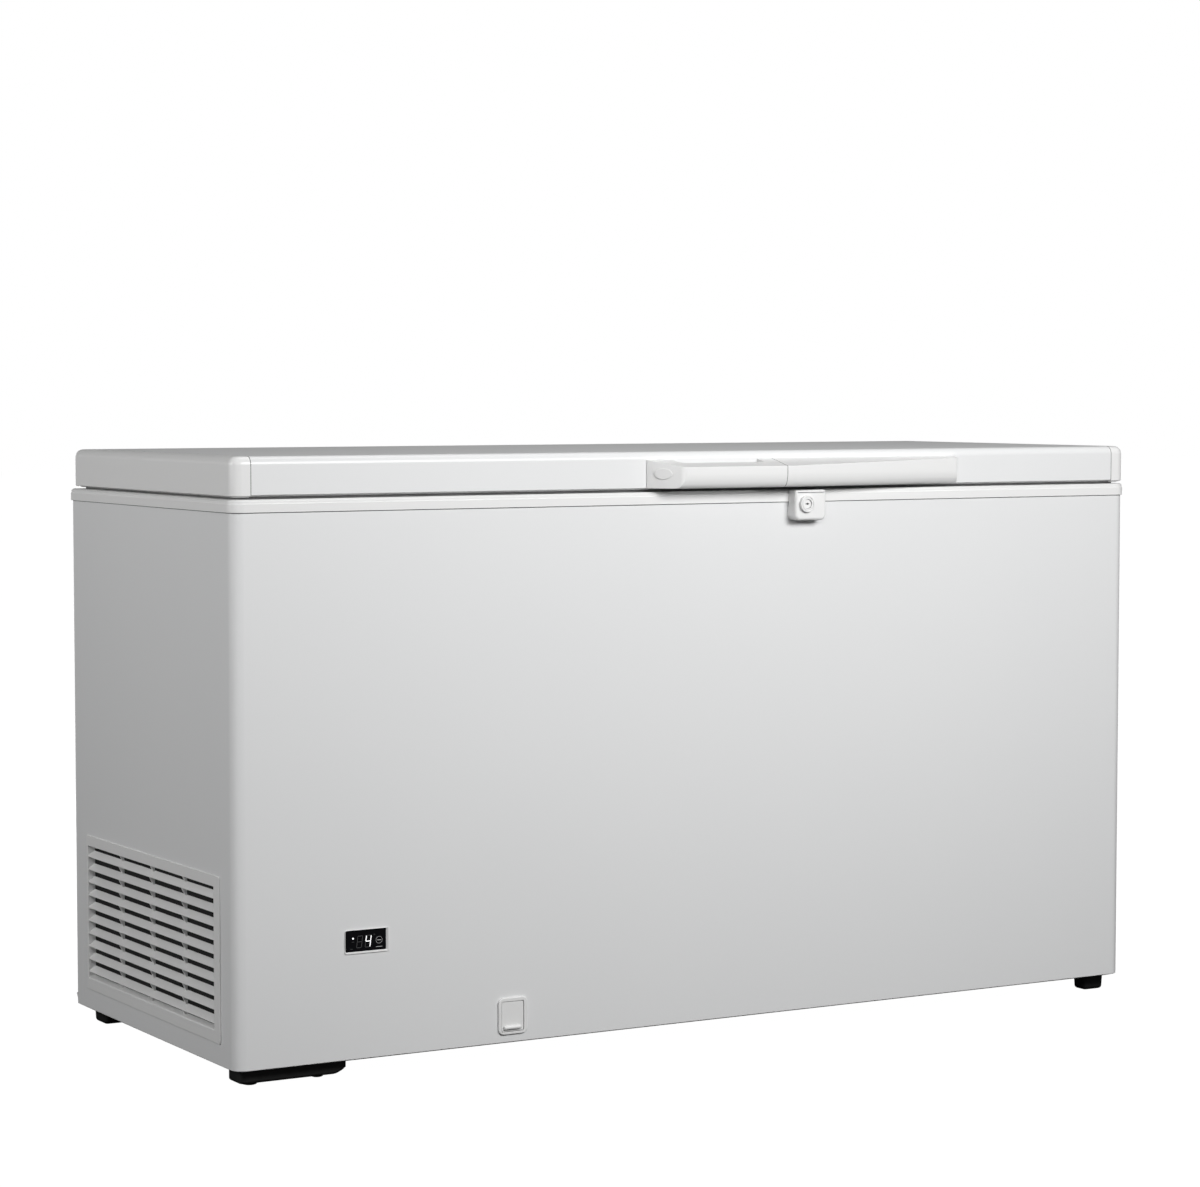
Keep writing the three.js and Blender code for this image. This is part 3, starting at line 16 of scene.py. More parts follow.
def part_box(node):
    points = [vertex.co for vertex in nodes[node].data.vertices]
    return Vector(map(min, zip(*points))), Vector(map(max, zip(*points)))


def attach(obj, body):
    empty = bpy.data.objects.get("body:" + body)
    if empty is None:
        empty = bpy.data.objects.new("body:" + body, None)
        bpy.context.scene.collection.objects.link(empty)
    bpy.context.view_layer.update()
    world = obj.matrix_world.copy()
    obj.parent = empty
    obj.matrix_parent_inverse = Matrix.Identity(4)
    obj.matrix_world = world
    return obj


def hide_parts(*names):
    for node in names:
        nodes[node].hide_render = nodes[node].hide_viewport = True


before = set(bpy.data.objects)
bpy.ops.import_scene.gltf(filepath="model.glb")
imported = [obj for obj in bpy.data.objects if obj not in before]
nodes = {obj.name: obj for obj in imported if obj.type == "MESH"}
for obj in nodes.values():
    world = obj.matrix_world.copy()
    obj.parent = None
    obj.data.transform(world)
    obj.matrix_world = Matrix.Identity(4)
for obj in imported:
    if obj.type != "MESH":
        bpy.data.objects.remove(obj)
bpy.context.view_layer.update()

MM = 0.001

# %% [markdown]
# ## Camera
# The freezer is seen from its front left, from a little above the lid, with a long lens, so its
# upright edges stay almost parallel. The camera stands level with no roll.

# %% Camera
CAMERA_PLACE = (-2.6044, -4.4441, 0.9769)
CAMERA_TURN = 30.084
CAMERA_DIP = 3.600
LENS = 98.99

bpy.ops.object.camera_add(location=CAMERA_PLACE)
camera = bpy.context.object
camera.rotation_euler = (math.radians(90 - CAMERA_DIP), 0, -math.radians(CAMERA_TURN))
camera.data.lens = LENS
camera.data.sensor_width = 36
camera.data.clip_end = 60
bpy.context.scene.camera = camera
print("camera", LENS, "mm lens")

# %% [markdown]
# ## Studio
# White goods need dark surroundings, or their faces run together. Soft lights in front, not much
# higher than the lid, make the front the brightest face and keep the handle's shadow short. A
# light on the left keeps the side mid grey, and weak ones above and behind reach into the open
# cabinet and onto the back. A faint horizon is what the flat lid reflects.

# %% World
def ramp_stops(ramp, stops):
    while len(ramp.elements) < len(stops):
        ramp.elements.new(0.5)
    for element, (place, level) in zip(ramp.elements, stops):
        element.position = place
        element.color = (level, level, level, 1)


world = bpy.data.worlds.new("studio")
world.use_nodes = True
bpy.context.scene.world = world
sky = world.node_tree
sky.nodes.clear()
SKY_STOPS = [(0.0, 0.0), (0.46, 0.0), (0.50, 0.36), (0.56, 0.36), (0.62, 0.0), (1.0, 0.0)]
direction = sky.nodes.new("ShaderNodeTexCoord")
split = sky.nodes.new("ShaderNodeSeparateXYZ")
height = sky.nodes.new("ShaderNodeMapRange")
height.inputs["From Min"].default_value = -1
levels = sky.nodes.new("ShaderNodeValToRGB")
ramp_stops(levels.color_ramp, SKY_STOPS)
seen = sky.nodes.new("ShaderNodeLightPath")
dim = sky.nodes.new("ShaderNodeBackground")
bright = sky.nodes.new("ShaderNodeBackground")
bright.inputs["Color"].default_value = (1, 1, 1, 1)
either = sky.nodes.new("ShaderNodeMixShader")
out = sky.nodes.new("ShaderNodeOutputWorld")
for source, target in [
    (direction.outputs["Generated"], split.inputs[0]),
    (split.outputs["Z"], height.inputs["Value"]),
    (height.outputs[0], levels.inputs["Fac"]),
    (levels.outputs["Color"], dim.inputs["Color"]),
    (seen.outputs["Is Camera Ray"], either.inputs[0]),
    (dim.outputs[0], either.inputs[1]),
    (bright.outputs[0], either.inputs[2]),
    (either.outputs[0], out.inputs["Surface"]),
]:
    sky.links.new(source, target)
print("surroundings", len(SKY_STOPS), "levels")

# %% Lights
def soft_light(name, place, target, size, watts):
    bpy.ops.object.light_add(type="AREA", location=place)
    light = bpy.context.object
    light.name = name
    light.data.shape = "RECTANGLE"
    light.data.size = size[0]
    light.data.size_y = size[1]
    light.data.energy = watts
    aim = Vector(target) - Vector(place)
    light.rotation_euler = aim.to_track_quat("-Z", "Y").to_euler()
    return light


soft_light("front_key", (0.4, -2.5, 1.75), (0.12, -0.3, 0.5), (1.3, 0.7), 55)
soft_light("front_left_fill", (-1.6, -2.5, 1.6), (-0.5, -0.3, 0.5), (1.1, 0.7), 14)
soft_light("front_right_fill", (1.7, -2.5, 1.3), (0.5, -0.3, 0.5), (1.1, 0.7), 3)
soft_light("side_softbox", (-3.2, 0.0, 1.4), (-0.8, 0.0, 0.5), (1.0, 0.8), 30)
soft_light("top_softbox", (0.3, 0.2, 3.0), (0.1, 0.1, 0.8), (1.6, 1.0), 15)
soft_light("back_softbox", (0.9, 3.0, 0.5), (0.2, 0.3, 0.45), (1.8, 0.5), 20)

# %% Floor
bpy.ops.mesh.primitive_plane_add(size=60, location=(0, 0, 0))
floor = bpy.context.object
floor.name = "studio_floor"
floor.visible_diffuse = False
floor.visible_glossy = False
pale = bpy.data.materials.new("pale_floor")
pale.use_nodes = True
paint = pale.node_tree.nodes["Principled BSDF"]
paint.inputs["Base Color"].default_value = (0.02, 0.02, 0.02, 1)
paint.inputs["Roughness"].default_value = 0.9
paint.inputs["Emission Color"].default_value = (1, 1, 1, 1)
paint.inputs["Emission Strength"].default_value = 1.0
floor.data.materials.append(pale)
bpy.context.scene.view_settings.view_transform = "Standard"

# %% [markdown]
# ## Modelling helpers
# Each piece starts as a primitive at its own size and place. It is then shaped in edit mode:
# edges are chosen by where they are and which way they run, and rounded with the bevel tool.
# Holes are cut with a boolean, and a wall gets its thickness from Solidify.

# %% Select and edit
def only(*objects):
    bpy.ops.object.select_all(action="DESELECT")
    for obj in objects:
        obj.select_set(True)
    bpy.context.view_layer.objects.active = objects[0]


@contextmanager
def editing(obj):
    only(obj)
    bpy.ops.object.mode_set(mode="EDIT")
    bpy.ops.mesh.select_all(action="DESELECT")
    yield
    bpy.ops.object.mode_set(mode="OBJECT")


def pick(obj, kind, wanted):
    """Selects the edges or faces, in edit mode, whose middle and direction pass the test."""
    bpy.ops.mesh.select_mode(type=kind)
    bpy.ops.mesh.select_all(action="DESELECT")
    mesh = bmesh.from_edit_mesh(obj.data)
    mesh.normal_update()
    if kind == "EDGE":
        for edge in mesh.edges:
            first, second = (vertex.co for vertex in edge.verts)
            if wanted((first + second) / 2, (second - first).normalized()):
                edge.select_set(True)
    else:
        for face in mesh.faces:
            if wanted(face.calc_center_median(), face.normal):
                face.select_set(True)
    bmesh.update_edit_mesh(obj.data)


def near(a, b, by=0.2 * MM):
    return abs(a - b) < by


# %% Start and shape
def block(name, low, high):
    bpy.ops.object.select_all(action="DESELECT")
    low = Vector(low)
    high = Vector(high)
    bpy.ops.mesh.primitive_cube_add(size=1, location=(low + high) / 2, scale=high - low)
    obj = bpy.context.object
    obj.name = name
    bpy.ops.object.transform_apply(location=True, rotation=True, scale=True)
    return obj


def barrel(name, centre, axis, radius, low, high, sides=48):
    """A cylinder along X, Y or Z between two places on that axis."""
    turn = {"X": (0, math.pi / 2, 0), "Y": (math.pi / 2, 0, 0), "Z": (0, 0, 0)}[axis]
    place = Vector(centre)
    place["XYZ".index(axis)] = (low + high) / 2
    bpy.ops.mesh.primitive_cylinder_add(
        vertices=sides, radius=radius, depth=high - low, location=place, rotation=turn
    )
    obj = bpy.context.object
    obj.name = name
    bpy.ops.object.transform_apply(location=True, rotation=True, scale=True)
    return obj


AXIS_PUT = {
    "X": lambda u, v, w: Vector((w, u, v)),
    "Y": lambda u, v, w: Vector((u, w, v)),
    "Z": lambda u, v, w: Vector((u, v, w)),
}


def prism(name, outline, axis, low, high):
    """A flat outline of a few corners, extruded along an axis."""
    bpy.ops.object.select_all(action="DESELECT")
    bpy.ops.mesh.primitive_circle_add(vertices=len(outline), fill_type="NGON")
    obj = bpy.context.object
    obj.name = name
    put = AXIS_PUT[axis]
    for vertex, (u, v) in zip(obj.data.vertices, outline):
        vertex.co = put(u, v, low)
    with editing(obj):
        bpy.ops.mesh.select_all(action="SELECT")
        bpy.ops.mesh.extrude_region_move(TRANSFORM_OT_translate={"value": put(0, 0, high - low)})
        bpy.ops.mesh.select_all(action="SELECT")
        bpy.ops.mesh.normals_make_consistent(inside=False)
    return obj


def spun(name, profile, centre, steps=48):
    """A profile of (radius, height) corners spun round an upright axis."""
    bpy.ops.object.select_all(action="DESELECT")
    bpy.ops.mesh.primitive_circle_add(vertices=len(profile), fill_type="NOTHING")
    obj = bpy.context.object
    obj.name = name
    middle = Vector(centre)
    for vertex, (radius, rise) in zip(obj.data.vertices, profile):
        vertex.co = middle + Vector((radius, 0, rise))
    with editing(obj):
        bpy.ops.mesh.select_all(action="SELECT")
        bpy.ops.mesh.spin(steps=steps, angle=2 * math.pi, center=middle, axis=(0, 0, 1))
        bpy.ops.mesh.select_all(action="SELECT")
        bpy.ops.mesh.remove_doubles(threshold=0.01 * MM)
        bpy.ops.mesh.normals_make_consistent(inside=False)
    return obj


def round_edges(obj, wanted, radius, segments=6):
    with editing(obj):
        pick(obj, "EDGE", wanted)
        bpy.ops.mesh.bevel(offset=radius, segments=segments, affect="EDGES")


def open_face(obj, wanted, margin=0.0):
    """Deletes a face, leaving a turned-in flange of the margin's width."""
    with editing(obj):
        pick(obj, "FACE", wanted)
        if margin > 0:
            bpy.ops.mesh.inset(thickness=margin)
        bpy.ops.mesh.delete(type="FACE")


# %% Modifiers
def modified(obj, kind, **settings):
    only(obj)
    step = obj.modifiers.new(kind.lower(), kind)
    for name, value in settings.items():
        setattr(step, name, value)
    bpy.ops.object.modifier_apply(modifier=step.name)
    return obj


def carve(obj, cutter, operation="DIFFERENCE"):
    modified(obj, "BOOLEAN", operation=operation, object=cutter, solver="EXACT")
    bpy.data.objects.remove(cutter)
    return obj


def soften(obj, width, segments=2, angle=35):
    return modified(
        obj, "BEVEL", width=width, segments=segments, limit_method="ANGLE",
        angle_limit=math.radians(angle), miter_outer="MITER_ARC",
    )


def smooth(obj, angle=35):
    only(obj)
    bpy.ops.object.shade_smooth_by_angle(angle=math.radians(angle))
    return modified(obj, "WEIGHTED_NORMAL", keep_sharp=True, weight=80)


def duplicate(obj, name, shift=(0, 0, 0)):
    """A copy with its own mesh, its place kept in the mesh."""
    twin = obj.copy()
    twin.data = obj.data.copy()
    twin.data.transform(Matrix.Translation(Vector(shift)))
    twin.name = name
    bpy.context.scene.collection.objects.link(twin)
    return twin


def joined(obj, *others):
    only(obj, *others)
    bpy.ops.object.join()
    return obj


def refined(node, name, edge=0.5 * MM, segments=2, angle=35, merge_flats=True):
    """A merged, edge-broken and smoothed copy of a frame node."""
    twin = nodes[node].copy()
    twin.data = nodes[node].data.copy()
    twin.name = name
    twin.parent = None
    for key in list(twin.keys()):
        del twin[key]
    bpy.context.scene.collection.objects.link(twin)
    only(twin)
    bpy.ops.mesh.customdata_custom_splitnormals_clear()
    with editing(twin):
        bpy.ops.mesh.select_all(action="SELECT")
        bpy.ops.mesh.remove_doubles(threshold=0.01 * MM)
        if merge_flats:
            bpy.ops.mesh.dissolve_limited(angle_limit=math.radians(0.5))
    if edge > 0:
        soften(twin, edge, segments, angle)
    return smooth(twin, angle)


# %% [markdown]
# ## Finish kit
# A finish is a small node tree. `Level` wraps a socket so that sums can be written as Python
# expressions, and `Finish.node` makes any other node from its type, settings and inputs.
# All patterns read Object coordinates, so their scale is in real metres on every piece.

# %% Finish kit
class Level:
    def __init__(self, finish, socket):
        self.finish = finish
        self.socket = socket

    def sum(self, operation, *values):
        return self.finish.node("ShaderNodeMath", {"operation": operation}, dict(enumerate(values)))

    def __add__(self, other):
        return self.sum("ADD", self, other)

    def __sub__(self, other):
        return self.sum("SUBTRACT", self, other)

    def __rsub__(self, other):
        return self.sum("SUBTRACT", other, self)

    def __mul__(self, other):
        return self.sum("MULTIPLY", self, other)

    __radd__ = __add__
    __rmul__ = __mul__


class Finish:
    def __init__(self, name):
        self.material = bpy.data.materials.new(name)
        self.material.use_nodes = True
        self.tree = self.material.node_tree
        self.shader = self.tree.nodes["Principled BSDF"]
        self.place = self.node("ShaderNodeTexCoord", output="Object")

    def node(self, kind, settings=None, inputs=None, output=0):
        made = self.tree.nodes.new(kind)
        for name, value in (settings or {}).items():
            if name == "stops":
                ramp_stops(made.color_ramp, value)
            else:
                setattr(made, name, value)
        for name, value in (inputs or {}).items():
            self.feed(made.inputs[name], value)
        return Level(self, made.outputs[output])

    def feed(self, socket, value):
        if isinstance(value, Level):
            self.tree.links.new(value.socket, socket)
        else:
            socket.default_value = value

    def surface(self, **sockets):
        for name, value in sockets.items():
            self.feed(self.shader.inputs[name.replace("_", " ")], value)
        return self.material

    def noise(self, size, detail=2.0, stretch=(1, 1, 1)):
        """Noise from 0 to 1 whose patches are about size metres wide."""
        scaled = self.node("ShaderNodeMapping", None, {"Vector": self.place, "Scale": stretch})
        return self.node(
            "ShaderNodeTexNoise", None, {"Vector": scaled, "Scale": 1 / size, "Detail": detail}
        )

    def cells(self, size):
        return self.node("ShaderNodeTexVoronoi", None, {"Vector": self.place, "Scale": 1 / size})

    def blend(self, mask, first, second):
        """A colour between two, by a mask from 0 to 1."""
        return self.node(
            "ShaderNodeMix", {"data_type": "RGBA"},
            {0: mask, 6: (*first, 1), 7: (*second, 1)}, output=2,
        )

    def relief(self, height, depth, strength=1.0):
        """A bump whose full height is depth metres."""
        return self.node(
            "ShaderNodeBump", None, {"Height": height, "Distance": depth, "Strength": strength}
        )


FINISHES = {}


def keep(slot_name, material):
    FINISHES[slot_name] = material
    return material


def grey(level):
    return (level, level, level)


# %% [markdown]
# ## Painted steel and plastics
# Baked enamel on sheet steel has a faint orange peel, a long low waviness where the sheet is
# bonded to foam, and a satin gloss. Moulded plastic is a touch whiter, with a finer grain.

# %% White paint and plastic
def sprayed(name, bright_grey, dull_grey, gloss, peel):
    """Enamel or moulded plastic: drifting tone, drifting gloss, and a fine surface texture."""
    finish = Finish(name)
    drift = finish.noise(0.35, detail=3)
    specks = finish.noise(0.006, detail=4)
    tone = finish.blend(drift * 0.8 + specks * 0.2, bright_grey, dull_grey)
    rough = gloss + (specks - 0.5) * 0.05 + (drift - 0.5) * 0.04
    texture = finish.noise(peel, detail=1) + finish.noise(0.25, detail=0) * 6
    finish.surface(Base_Color=tone, Roughness=rough, Normal=finish.relief(texture, 0.006 * MM))
    return finish.material


keep("white_steel", sprayed("white_enamel", (0.83, 0.835, 0.835), (0.80, 0.805, 0.81), 0.34, 1.6 * MM))
keep("white_plastic", sprayed("white_abs", (0.86, 0.86, 0.855), (0.835, 0.835, 0.83), 0.30, 0.9 * MM))
print("white finishes", sorted(FINISHES))

# %% [markdown]
# ## Dark plastics and rubber
# Feet and motor covers are black plastic with a spark-eroded grain; pads and grommets are
# rubber, greyed by dust; the display's lens is smooth and black.

# %% Dark finishes
def dark(name, dark_level, light_level, rough_level, grain, depth):
    finish = Finish(name)
    grains = finish.noise(grain, detail=3)
    dust = finish.noise(0.03, detail=4)
    mask = finish.node("ShaderNodeValToRGB", {"stops": [(0.45, 0), (0.75, 1)]}, {"Fac": dust})
    finish.surface(
        Base_Color=finish.blend(mask, grey(dark_level), grey(light_level)),
        Roughness=rough_level + (grains - 0.5) * 0.2,
        Normal=finish.relief(grains, depth),
    )
    return finish.material


keep("black_plastic", dark("black_plastic", 0.010, 0.020, 0.42, 0.8 * MM, 0.03 * MM))
keep("rubber", dark("dusty_rubber", 0.016, 0.045, 0.78, 1.2 * MM, 0.06 * MM))
keep("black_enamel", dark("black_enamel", 0.008, 0.016, 0.28, 2.5 * MM, 0.02 * MM))
keep("gasket_grey", dark("gasket_vinyl", 0.20, 0.27, 0.55, 1.5 * MM, 0.04 * MM))


def lens_black():
    finish = Finish("display_lens_black")
    haze = finish.noise(0.004, detail=3)
    finish.surface(
        Base_Color=finish.blend(haze, (0.004, 0.004, 0.005), (0.009, 0.009, 0.010)),
        Roughness=0.05 + haze * 0.05,
        Normal=finish.relief(finish.noise(0.01), 0.003 * MM),
    )
    return finish.material


keep("black_gloss", lens_black())
print("dark finishes", len(FINISHES))

# %% [markdown]
# ## Metals and foam
# Zinc plating has a soft spangle, aluminium and chrome show fine drawn lines, the copper pipes
# are browned in patches, and the foam is a mass of tiny cells.

# %% Metals
def metal(name, light, shade, rough_level, grain, stretch, depth):
    finish = Finish(name)
    lines = finish.noise(grain, detail=4, stretch=stretch)
    patches = finish.noise(0.02, detail=3)
    finish.surface(
        Base_Color=finish.blend(lines * 0.6 + patches * 0.4, light, shade),
        Metallic=1.0,
        Roughness=rough_level + (patches - 0.5) * 0.2,
        Normal=finish.relief(lines, depth),
    )
    return finish.material


keep("zinc_steel", metal("zinc_plate", (0.62, 0.63, 0.64), (0.45, 0.46, 0.47), 0.36, 6 * MM, (1, 1, 1), 0.02 * MM))
keep("pin_chrome", metal("drawn_chrome", grey(0.72), grey(0.6), 0.16, 1 * MM, (0.05, 1, 1), 0.004 * MM))
keep("copper", metal("browned_copper", (0.72, 0.36, 0.22), (0.36, 0.17, 0.10), 0.3, 8 * MM, (1, 1, 1), 0.02 * MM))
keep("aluminium", metal("mill_aluminium", grey(0.68), grey(0.55), 0.32, 2 * MM, (1, 1, 0.05), 0.01 * MM))


def embossed_liner():
    """White-coated sheet with a stucco of shallow dimples, as a freezer's inside has."""
    finish = Finish("embossed_liner")
    dimples = finish.cells(5 * MM)
    drift = finish.noise(0.2, detail=3)
    finish.surface(
        Base_Color=finish.blend(drift, (0.86, 0.865, 0.87), (0.81, 0.82, 0.83)),
        Roughness=0.3 + drift * 0.1,
        Normal=finish.relief(dimples, 0.25 * MM, 0.7),
    )
    return finish.material


def cellular_foam():
    finish = Finish("cellular_foam")
    bubbles = finish.cells(1.2 * MM)
    stain = finish.noise(0.05, detail=4)
    finish.surface(
        Base_Color=finish.blend(stain, (0.80, 0.66, 0.38), (0.66, 0.50, 0.25)),
        Roughness=0.88 + (bubbles - 0.5) * 0.1,
        Normal=finish.relief(bubbles, 0.5 * MM),
    )
    return finish.material


keep("liner_white", embossed_liner())
keep("foam", cellular_foam())
print("finishes", len(FINISHES))

# %% [markdown]
# ## Fitting a piece
# A finished piece gets its finish and material slot, rides on its body, and hides the frame
# nodes that it stands for.

# %% Fit
def fit(obj, body, slot_name, *replaced, finish=None):
    obj.data.materials.clear()
    obj.data.materials.append(finish or FINISHES[slot_name])
    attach(obj, body)
    if replaced:
        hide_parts(*replaced)
    return obj


# %% [markdown]
# ## Cabinet wrapper
# On the real freezer one long sheet is bent into a U round both ends and the front, hemmed along
# its lower edge and turned in at the back. Here a block gets its two front corners rounded, its
# top, bottom and back are opened to leave the flanges, and Solidify gives it the sheet's
# thickness. Boolean cutters then make the windows for louvre, display and drain.

# %% Cabinet wrapper
wrap_low, wrap_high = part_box("outer_wrapper")
CORNER = 18 * MM
SHEET = 0.8 * MM
HEM = 1.4 * MM
FLANGE = 16 * MM

wrapper = block("cabinet_wrapper", wrap_low, wrap_high)
round_edges(wrapper, lambda m, d: abs(d.z) > 0.9 and near(m.y, wrap_low.y), CORNER, 12)
round_edges(wrapper, lambda m, d: near(m.z, wrap_low.z), HEM, 3)
round_edges(wrapper, lambda m, d: abs(d.z) > 0.9 and near(m.y, wrap_high.y), HEM, 3)
open_face(wrapper, lambda m, n: n.z > 0.9)
open_face(wrapper, lambda m, n: n.z < -0.9, FLANGE)
open_face(wrapper, lambda m, n: n.y > 0.9, FLANGE)
modified(wrapper, "SOLIDIFY", thickness=SHEET, offset=-1)

louvre_low, louvre_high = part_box("side_louvre")
LOUVRE_EDGE = Vector((0, 20, 17)) * MM
LOUVRE_FAR_EDGE = Vector((0, 7, 16)) * MM
window_low = louvre_low + LOUVRE_EDGE
window_high = louvre_high - LOUVRE_FAR_EDGE
WALL_CUT = 6 * MM
carve(wrapper, block(
    "cutter",
    (wrap_low.x - WALL_CUT, window_low.y - 2 * MM, window_low.z - 2 * MM),
    (wrap_low.x + WALL_CUT, window_high.y + 2 * MM, window_high.z + 2 * MM),
))
for node, lap in (("display_bezel", 1.2 * MM), ("drain_frame", 3 * MM)):
    low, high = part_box(node)
    hole = block(
        "cutter",
        (low.x + lap, wrap_low.y - WALL_CUT, low.z + lap),
        (high.x - lap, wrap_low.y + WALL_CUT, high.z - lap),
    )
    round_edges(hole, lambda m, d: abs(d.y) > 0.9, 3 * MM)
    carve(wrapper, hole)
fit(smooth(wrapper), "cabinet", "white_steel", "outer_wrapper")
print("wrapper faces", len(wrapper.data.polygons))

# %% [markdown]
# ## Rim, gasket and back
# The moulded rim caps the walls, steps in near its top and carries the baskets. Its solid is
# already right, so a copy only gets its doubles merged, its edges broken and its corners smoothed.
# Its flat faces run round an opening, so their triangles are not merged into one face.
# A thin dark band under the rim's lip is painted shade: it darkens the shadow line of the joint.

# %% Rim and back
mouth_rim = refined("top_rim", "mouth_rim", 0.7 * MM, 3, merge_flats=False)
fit(mouth_rim, "cabinet", "white_plastic", "top_rim")
fit(refined("rear_panel", "back_panel", 0.0), "cabinet", "white_steel", "rear_panel")
LIP_ABOVE_TONGUE = 6 * MM
lip_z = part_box("top_rim")[0].z + LIP_ABOVE_TONGUE
LIP_SHADE_PROUD = 0.25 * MM
# painted shade: a thin dark band under the rim's lip stands for the joint's shadow line
lip_shade_band = block(
    "rim_lip_shade",
    (wrap_low.x - LIP_SHADE_PROUD, wrap_low.y - LIP_SHADE_PROUD, lip_z - 0.9 * MM),
    (wrap_high.x + LIP_SHADE_PROUD, wrap_high.y - 2 * MM, lip_z - 0.05 * MM),
)
round_edges(lip_shade_band, lambda m, d: abs(d.z) > 0.9 and near(m.y, wrap_low.y - LIP_SHADE_PROUD), CORNER, 12)
for facing in ((0, 0, 1), (0, 0, -1), (0, 1, 0)):
    open_face(lip_shade_band, lambda m, n: n.dot(Vector(facing)) > 0.9)
modified(lip_shade_band, "SOLIDIFY", thickness=1.2 * LIP_SHADE_PROUD, offset=-1, use_even_offset=True)
fit(smooth(lip_shade_band), "cabinet", "rubber")
fit(refined("lid_gasket", "lid_gasket_band", 1.2 * MM, 3), "lid", "gasket_grey", "lid_gasket")

# %% [markdown]
# ## Lid
# The lid's skin is a shallow tray pressed from sheet, and a moulded cap closes each end. All
# three are cut from one rounded block with the bisect tool, so their curves line up at the seams,
# where a thin dark strip between them is painted shade in the joint.

# %% Lid
cap_low, cap_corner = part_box("lid_end_cap_left")
lid_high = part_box("lid_end_cap_right")[1]
skin_low, skin_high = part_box("lid_skin")
LID_CORNER = 16 * MM
LID_TOP_EDGE = 12 * MM
LID_HEM = 8 * MM
SEAM = 0.6 * MM
SEAM_GAP = 0.03 * MM


def lid_tray(name, low_z, wall, keep_from, keep_to):
    """The lid's rounded tray between two places along its length."""
    tray = block(name, (cap_low.x, cap_low.y, low_z), lid_high)
    round_edges(tray, lambda m, d: abs(d.z) > 0.9, LID_CORNER, 10)
    round_edges(tray, lambda m, d: near(m.z, lid_high.z), LID_TOP_EDGE, 10)
    round_edges(tray, lambda m, d: near(m.z, low_z), 1.2 * MM, 3)
    open_face(tray, lambda m, n: n.z < -0.9, LID_HEM)
    for place, normal in ((keep_from, (-1, 0, 0)), (keep_to, (1, 0, 0))):
        with editing(tray):
            bpy.ops.mesh.select_all(action="SELECT")
            bpy.ops.mesh.bisect(plane_co=(place, 0, 0), plane_no=normal, clear_outer=True)
    modified(tray, "SOLIDIFY", thickness=wall, offset=-1, use_even_offset=True)
    return smooth(tray)


lid_skin = lid_tray("lid_tray_skin", skin_low.z, 1 * MM, skin_low.x + SEAM, skin_high.x - SEAM)
fit(lid_skin, "lid", "white_steel", "lid_skin")
for side, keep_from, keep_to in (
    ("left", 2 * cap_low.x, cap_corner.x),
    ("right", -cap_corner.x, 2 * lid_high.x),
):
    cap = lid_tray(f"lid_cap_{side}", cap_low.z, 2 * MM, keep_from, keep_to)
    fit(cap, "lid", "white_plastic", f"lid_end_cap_{side}")
seam_from = cap_corner.x + SEAM_GAP
seam_to = skin_low.x + SEAM - SEAM_GAP
# painted shade: a dark strip in each cap seam stands for the shade in the joint
for side, keep_from, keep_to in (("left", seam_from, seam_to), ("right", -seam_to, -seam_from)):
    seam_shade_strip = lid_tray(f"lid_seam_shade_{side}", skin_low.z, 1 * MM, keep_from, keep_to)
    fit(seam_shade_strip, "lid", "rubber")
fit(refined("lid_liner", "lid_inner_panel", 3 * MM, 4), "lid", "liner_white", "lid_liner")
print("lid height", round(lid_high.z - skin_low.z, 4))

# %% [markdown]
# ## Handle
# A long bar with a wedge at its left end, a level middle to pull on, and a long taper to the
# right. Its lower front is rolled under and its top slopes forward. A dark slice of the cover's
# own section sits in the seam between the two mouldings as painted shade of the joint.

# %% Handle
# painted shade: a dark slice in the seam between grip and cover stands for the shade in the joint
handle_seam_shade = refined("handle_cover", "handle_seam_shade", 0.0)
with editing(handle_seam_shade):
    bpy.ops.mesh.select_all(action="SELECT")
    bpy.ops.mesh.bisect(
        plane_co=(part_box("handle_cover")[0].x + 0.5 * MM, 0, 0), plane_no=(1, 0, 0),
        clear_outer=True, use_fill=True,
    )
handle_seam_shade.data.transform(Matrix.Translation((-0.4 * MM, 0, 0)))
fit(smooth(handle_seam_shade), "lid", "rubber")
for node, name in (("handle_grip", "handle_bar"), ("handle_cover", "handle_taper")):
    fit(refined(node, name, 1.0 * MM, 3, 32), "lid", "white_plastic", node)
fit(refined("handle_badge", "handle_oval", 0.8 * MM), "lid", "white_plastic", "handle_badge")

# %% [markdown]
# ## Lock
# A soft-cornered housing stands below the handle; a raised collar with a turned groove holds the
# turning plug, whose keyhole is a black insert of painted shade; a steel bolt rises into the handle.

# %% Lock
lock_low, lock_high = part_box("lock_housing")
lock_high.x += 2.6 * MM
collar_low, collar_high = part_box("lock_collar")
bolt_low, bolt_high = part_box("lock_bolt")
rim_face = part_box("top_rim")[0].y
case = block("lock_case", lock_low, lock_high)
round_edges(case, lambda m, d: abs(d.y) > 0.9 and near(m.z, lock_low.z), 8 * MM, 8)
round_edges(case, lambda m, d: abs(d.y) > 0.9 and near(m.z, lock_high.z), 3 * MM, 4)
round_edges(case, lambda m, d: near(m.y, lock_low.y), 4.5 * MM, 6)
carve(case, block(
    "rim_space",
    (lock_low.x - 5 * MM, rim_face - 0.3 * MM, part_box("top_rim")[0].z - 0.3 * MM),
    (lock_high.x + 5 * MM, 0, lock_high.z + 5 * MM),
))
carve(case, block(
    "bolt_well", bolt_low - Vector((1, 0.6, 2)) * MM, bolt_high + Vector((1, 20, 20)) * MM,
))
collar_x = (collar_low.x + collar_high.x) / 2
collar_z = (collar_low.z + collar_high.z) / 2
COLLAR_SLEEVE = 9.3 * MM
carve(case, barrel(
    "collar_hole", (collar_x, 0, collar_z), "Y", COLLAR_SLEEVE, lock_low.y - 5 * MM, bolt_low.y,
))
fit(smooth(case), "cabinet", "white_plastic", "lock_housing")

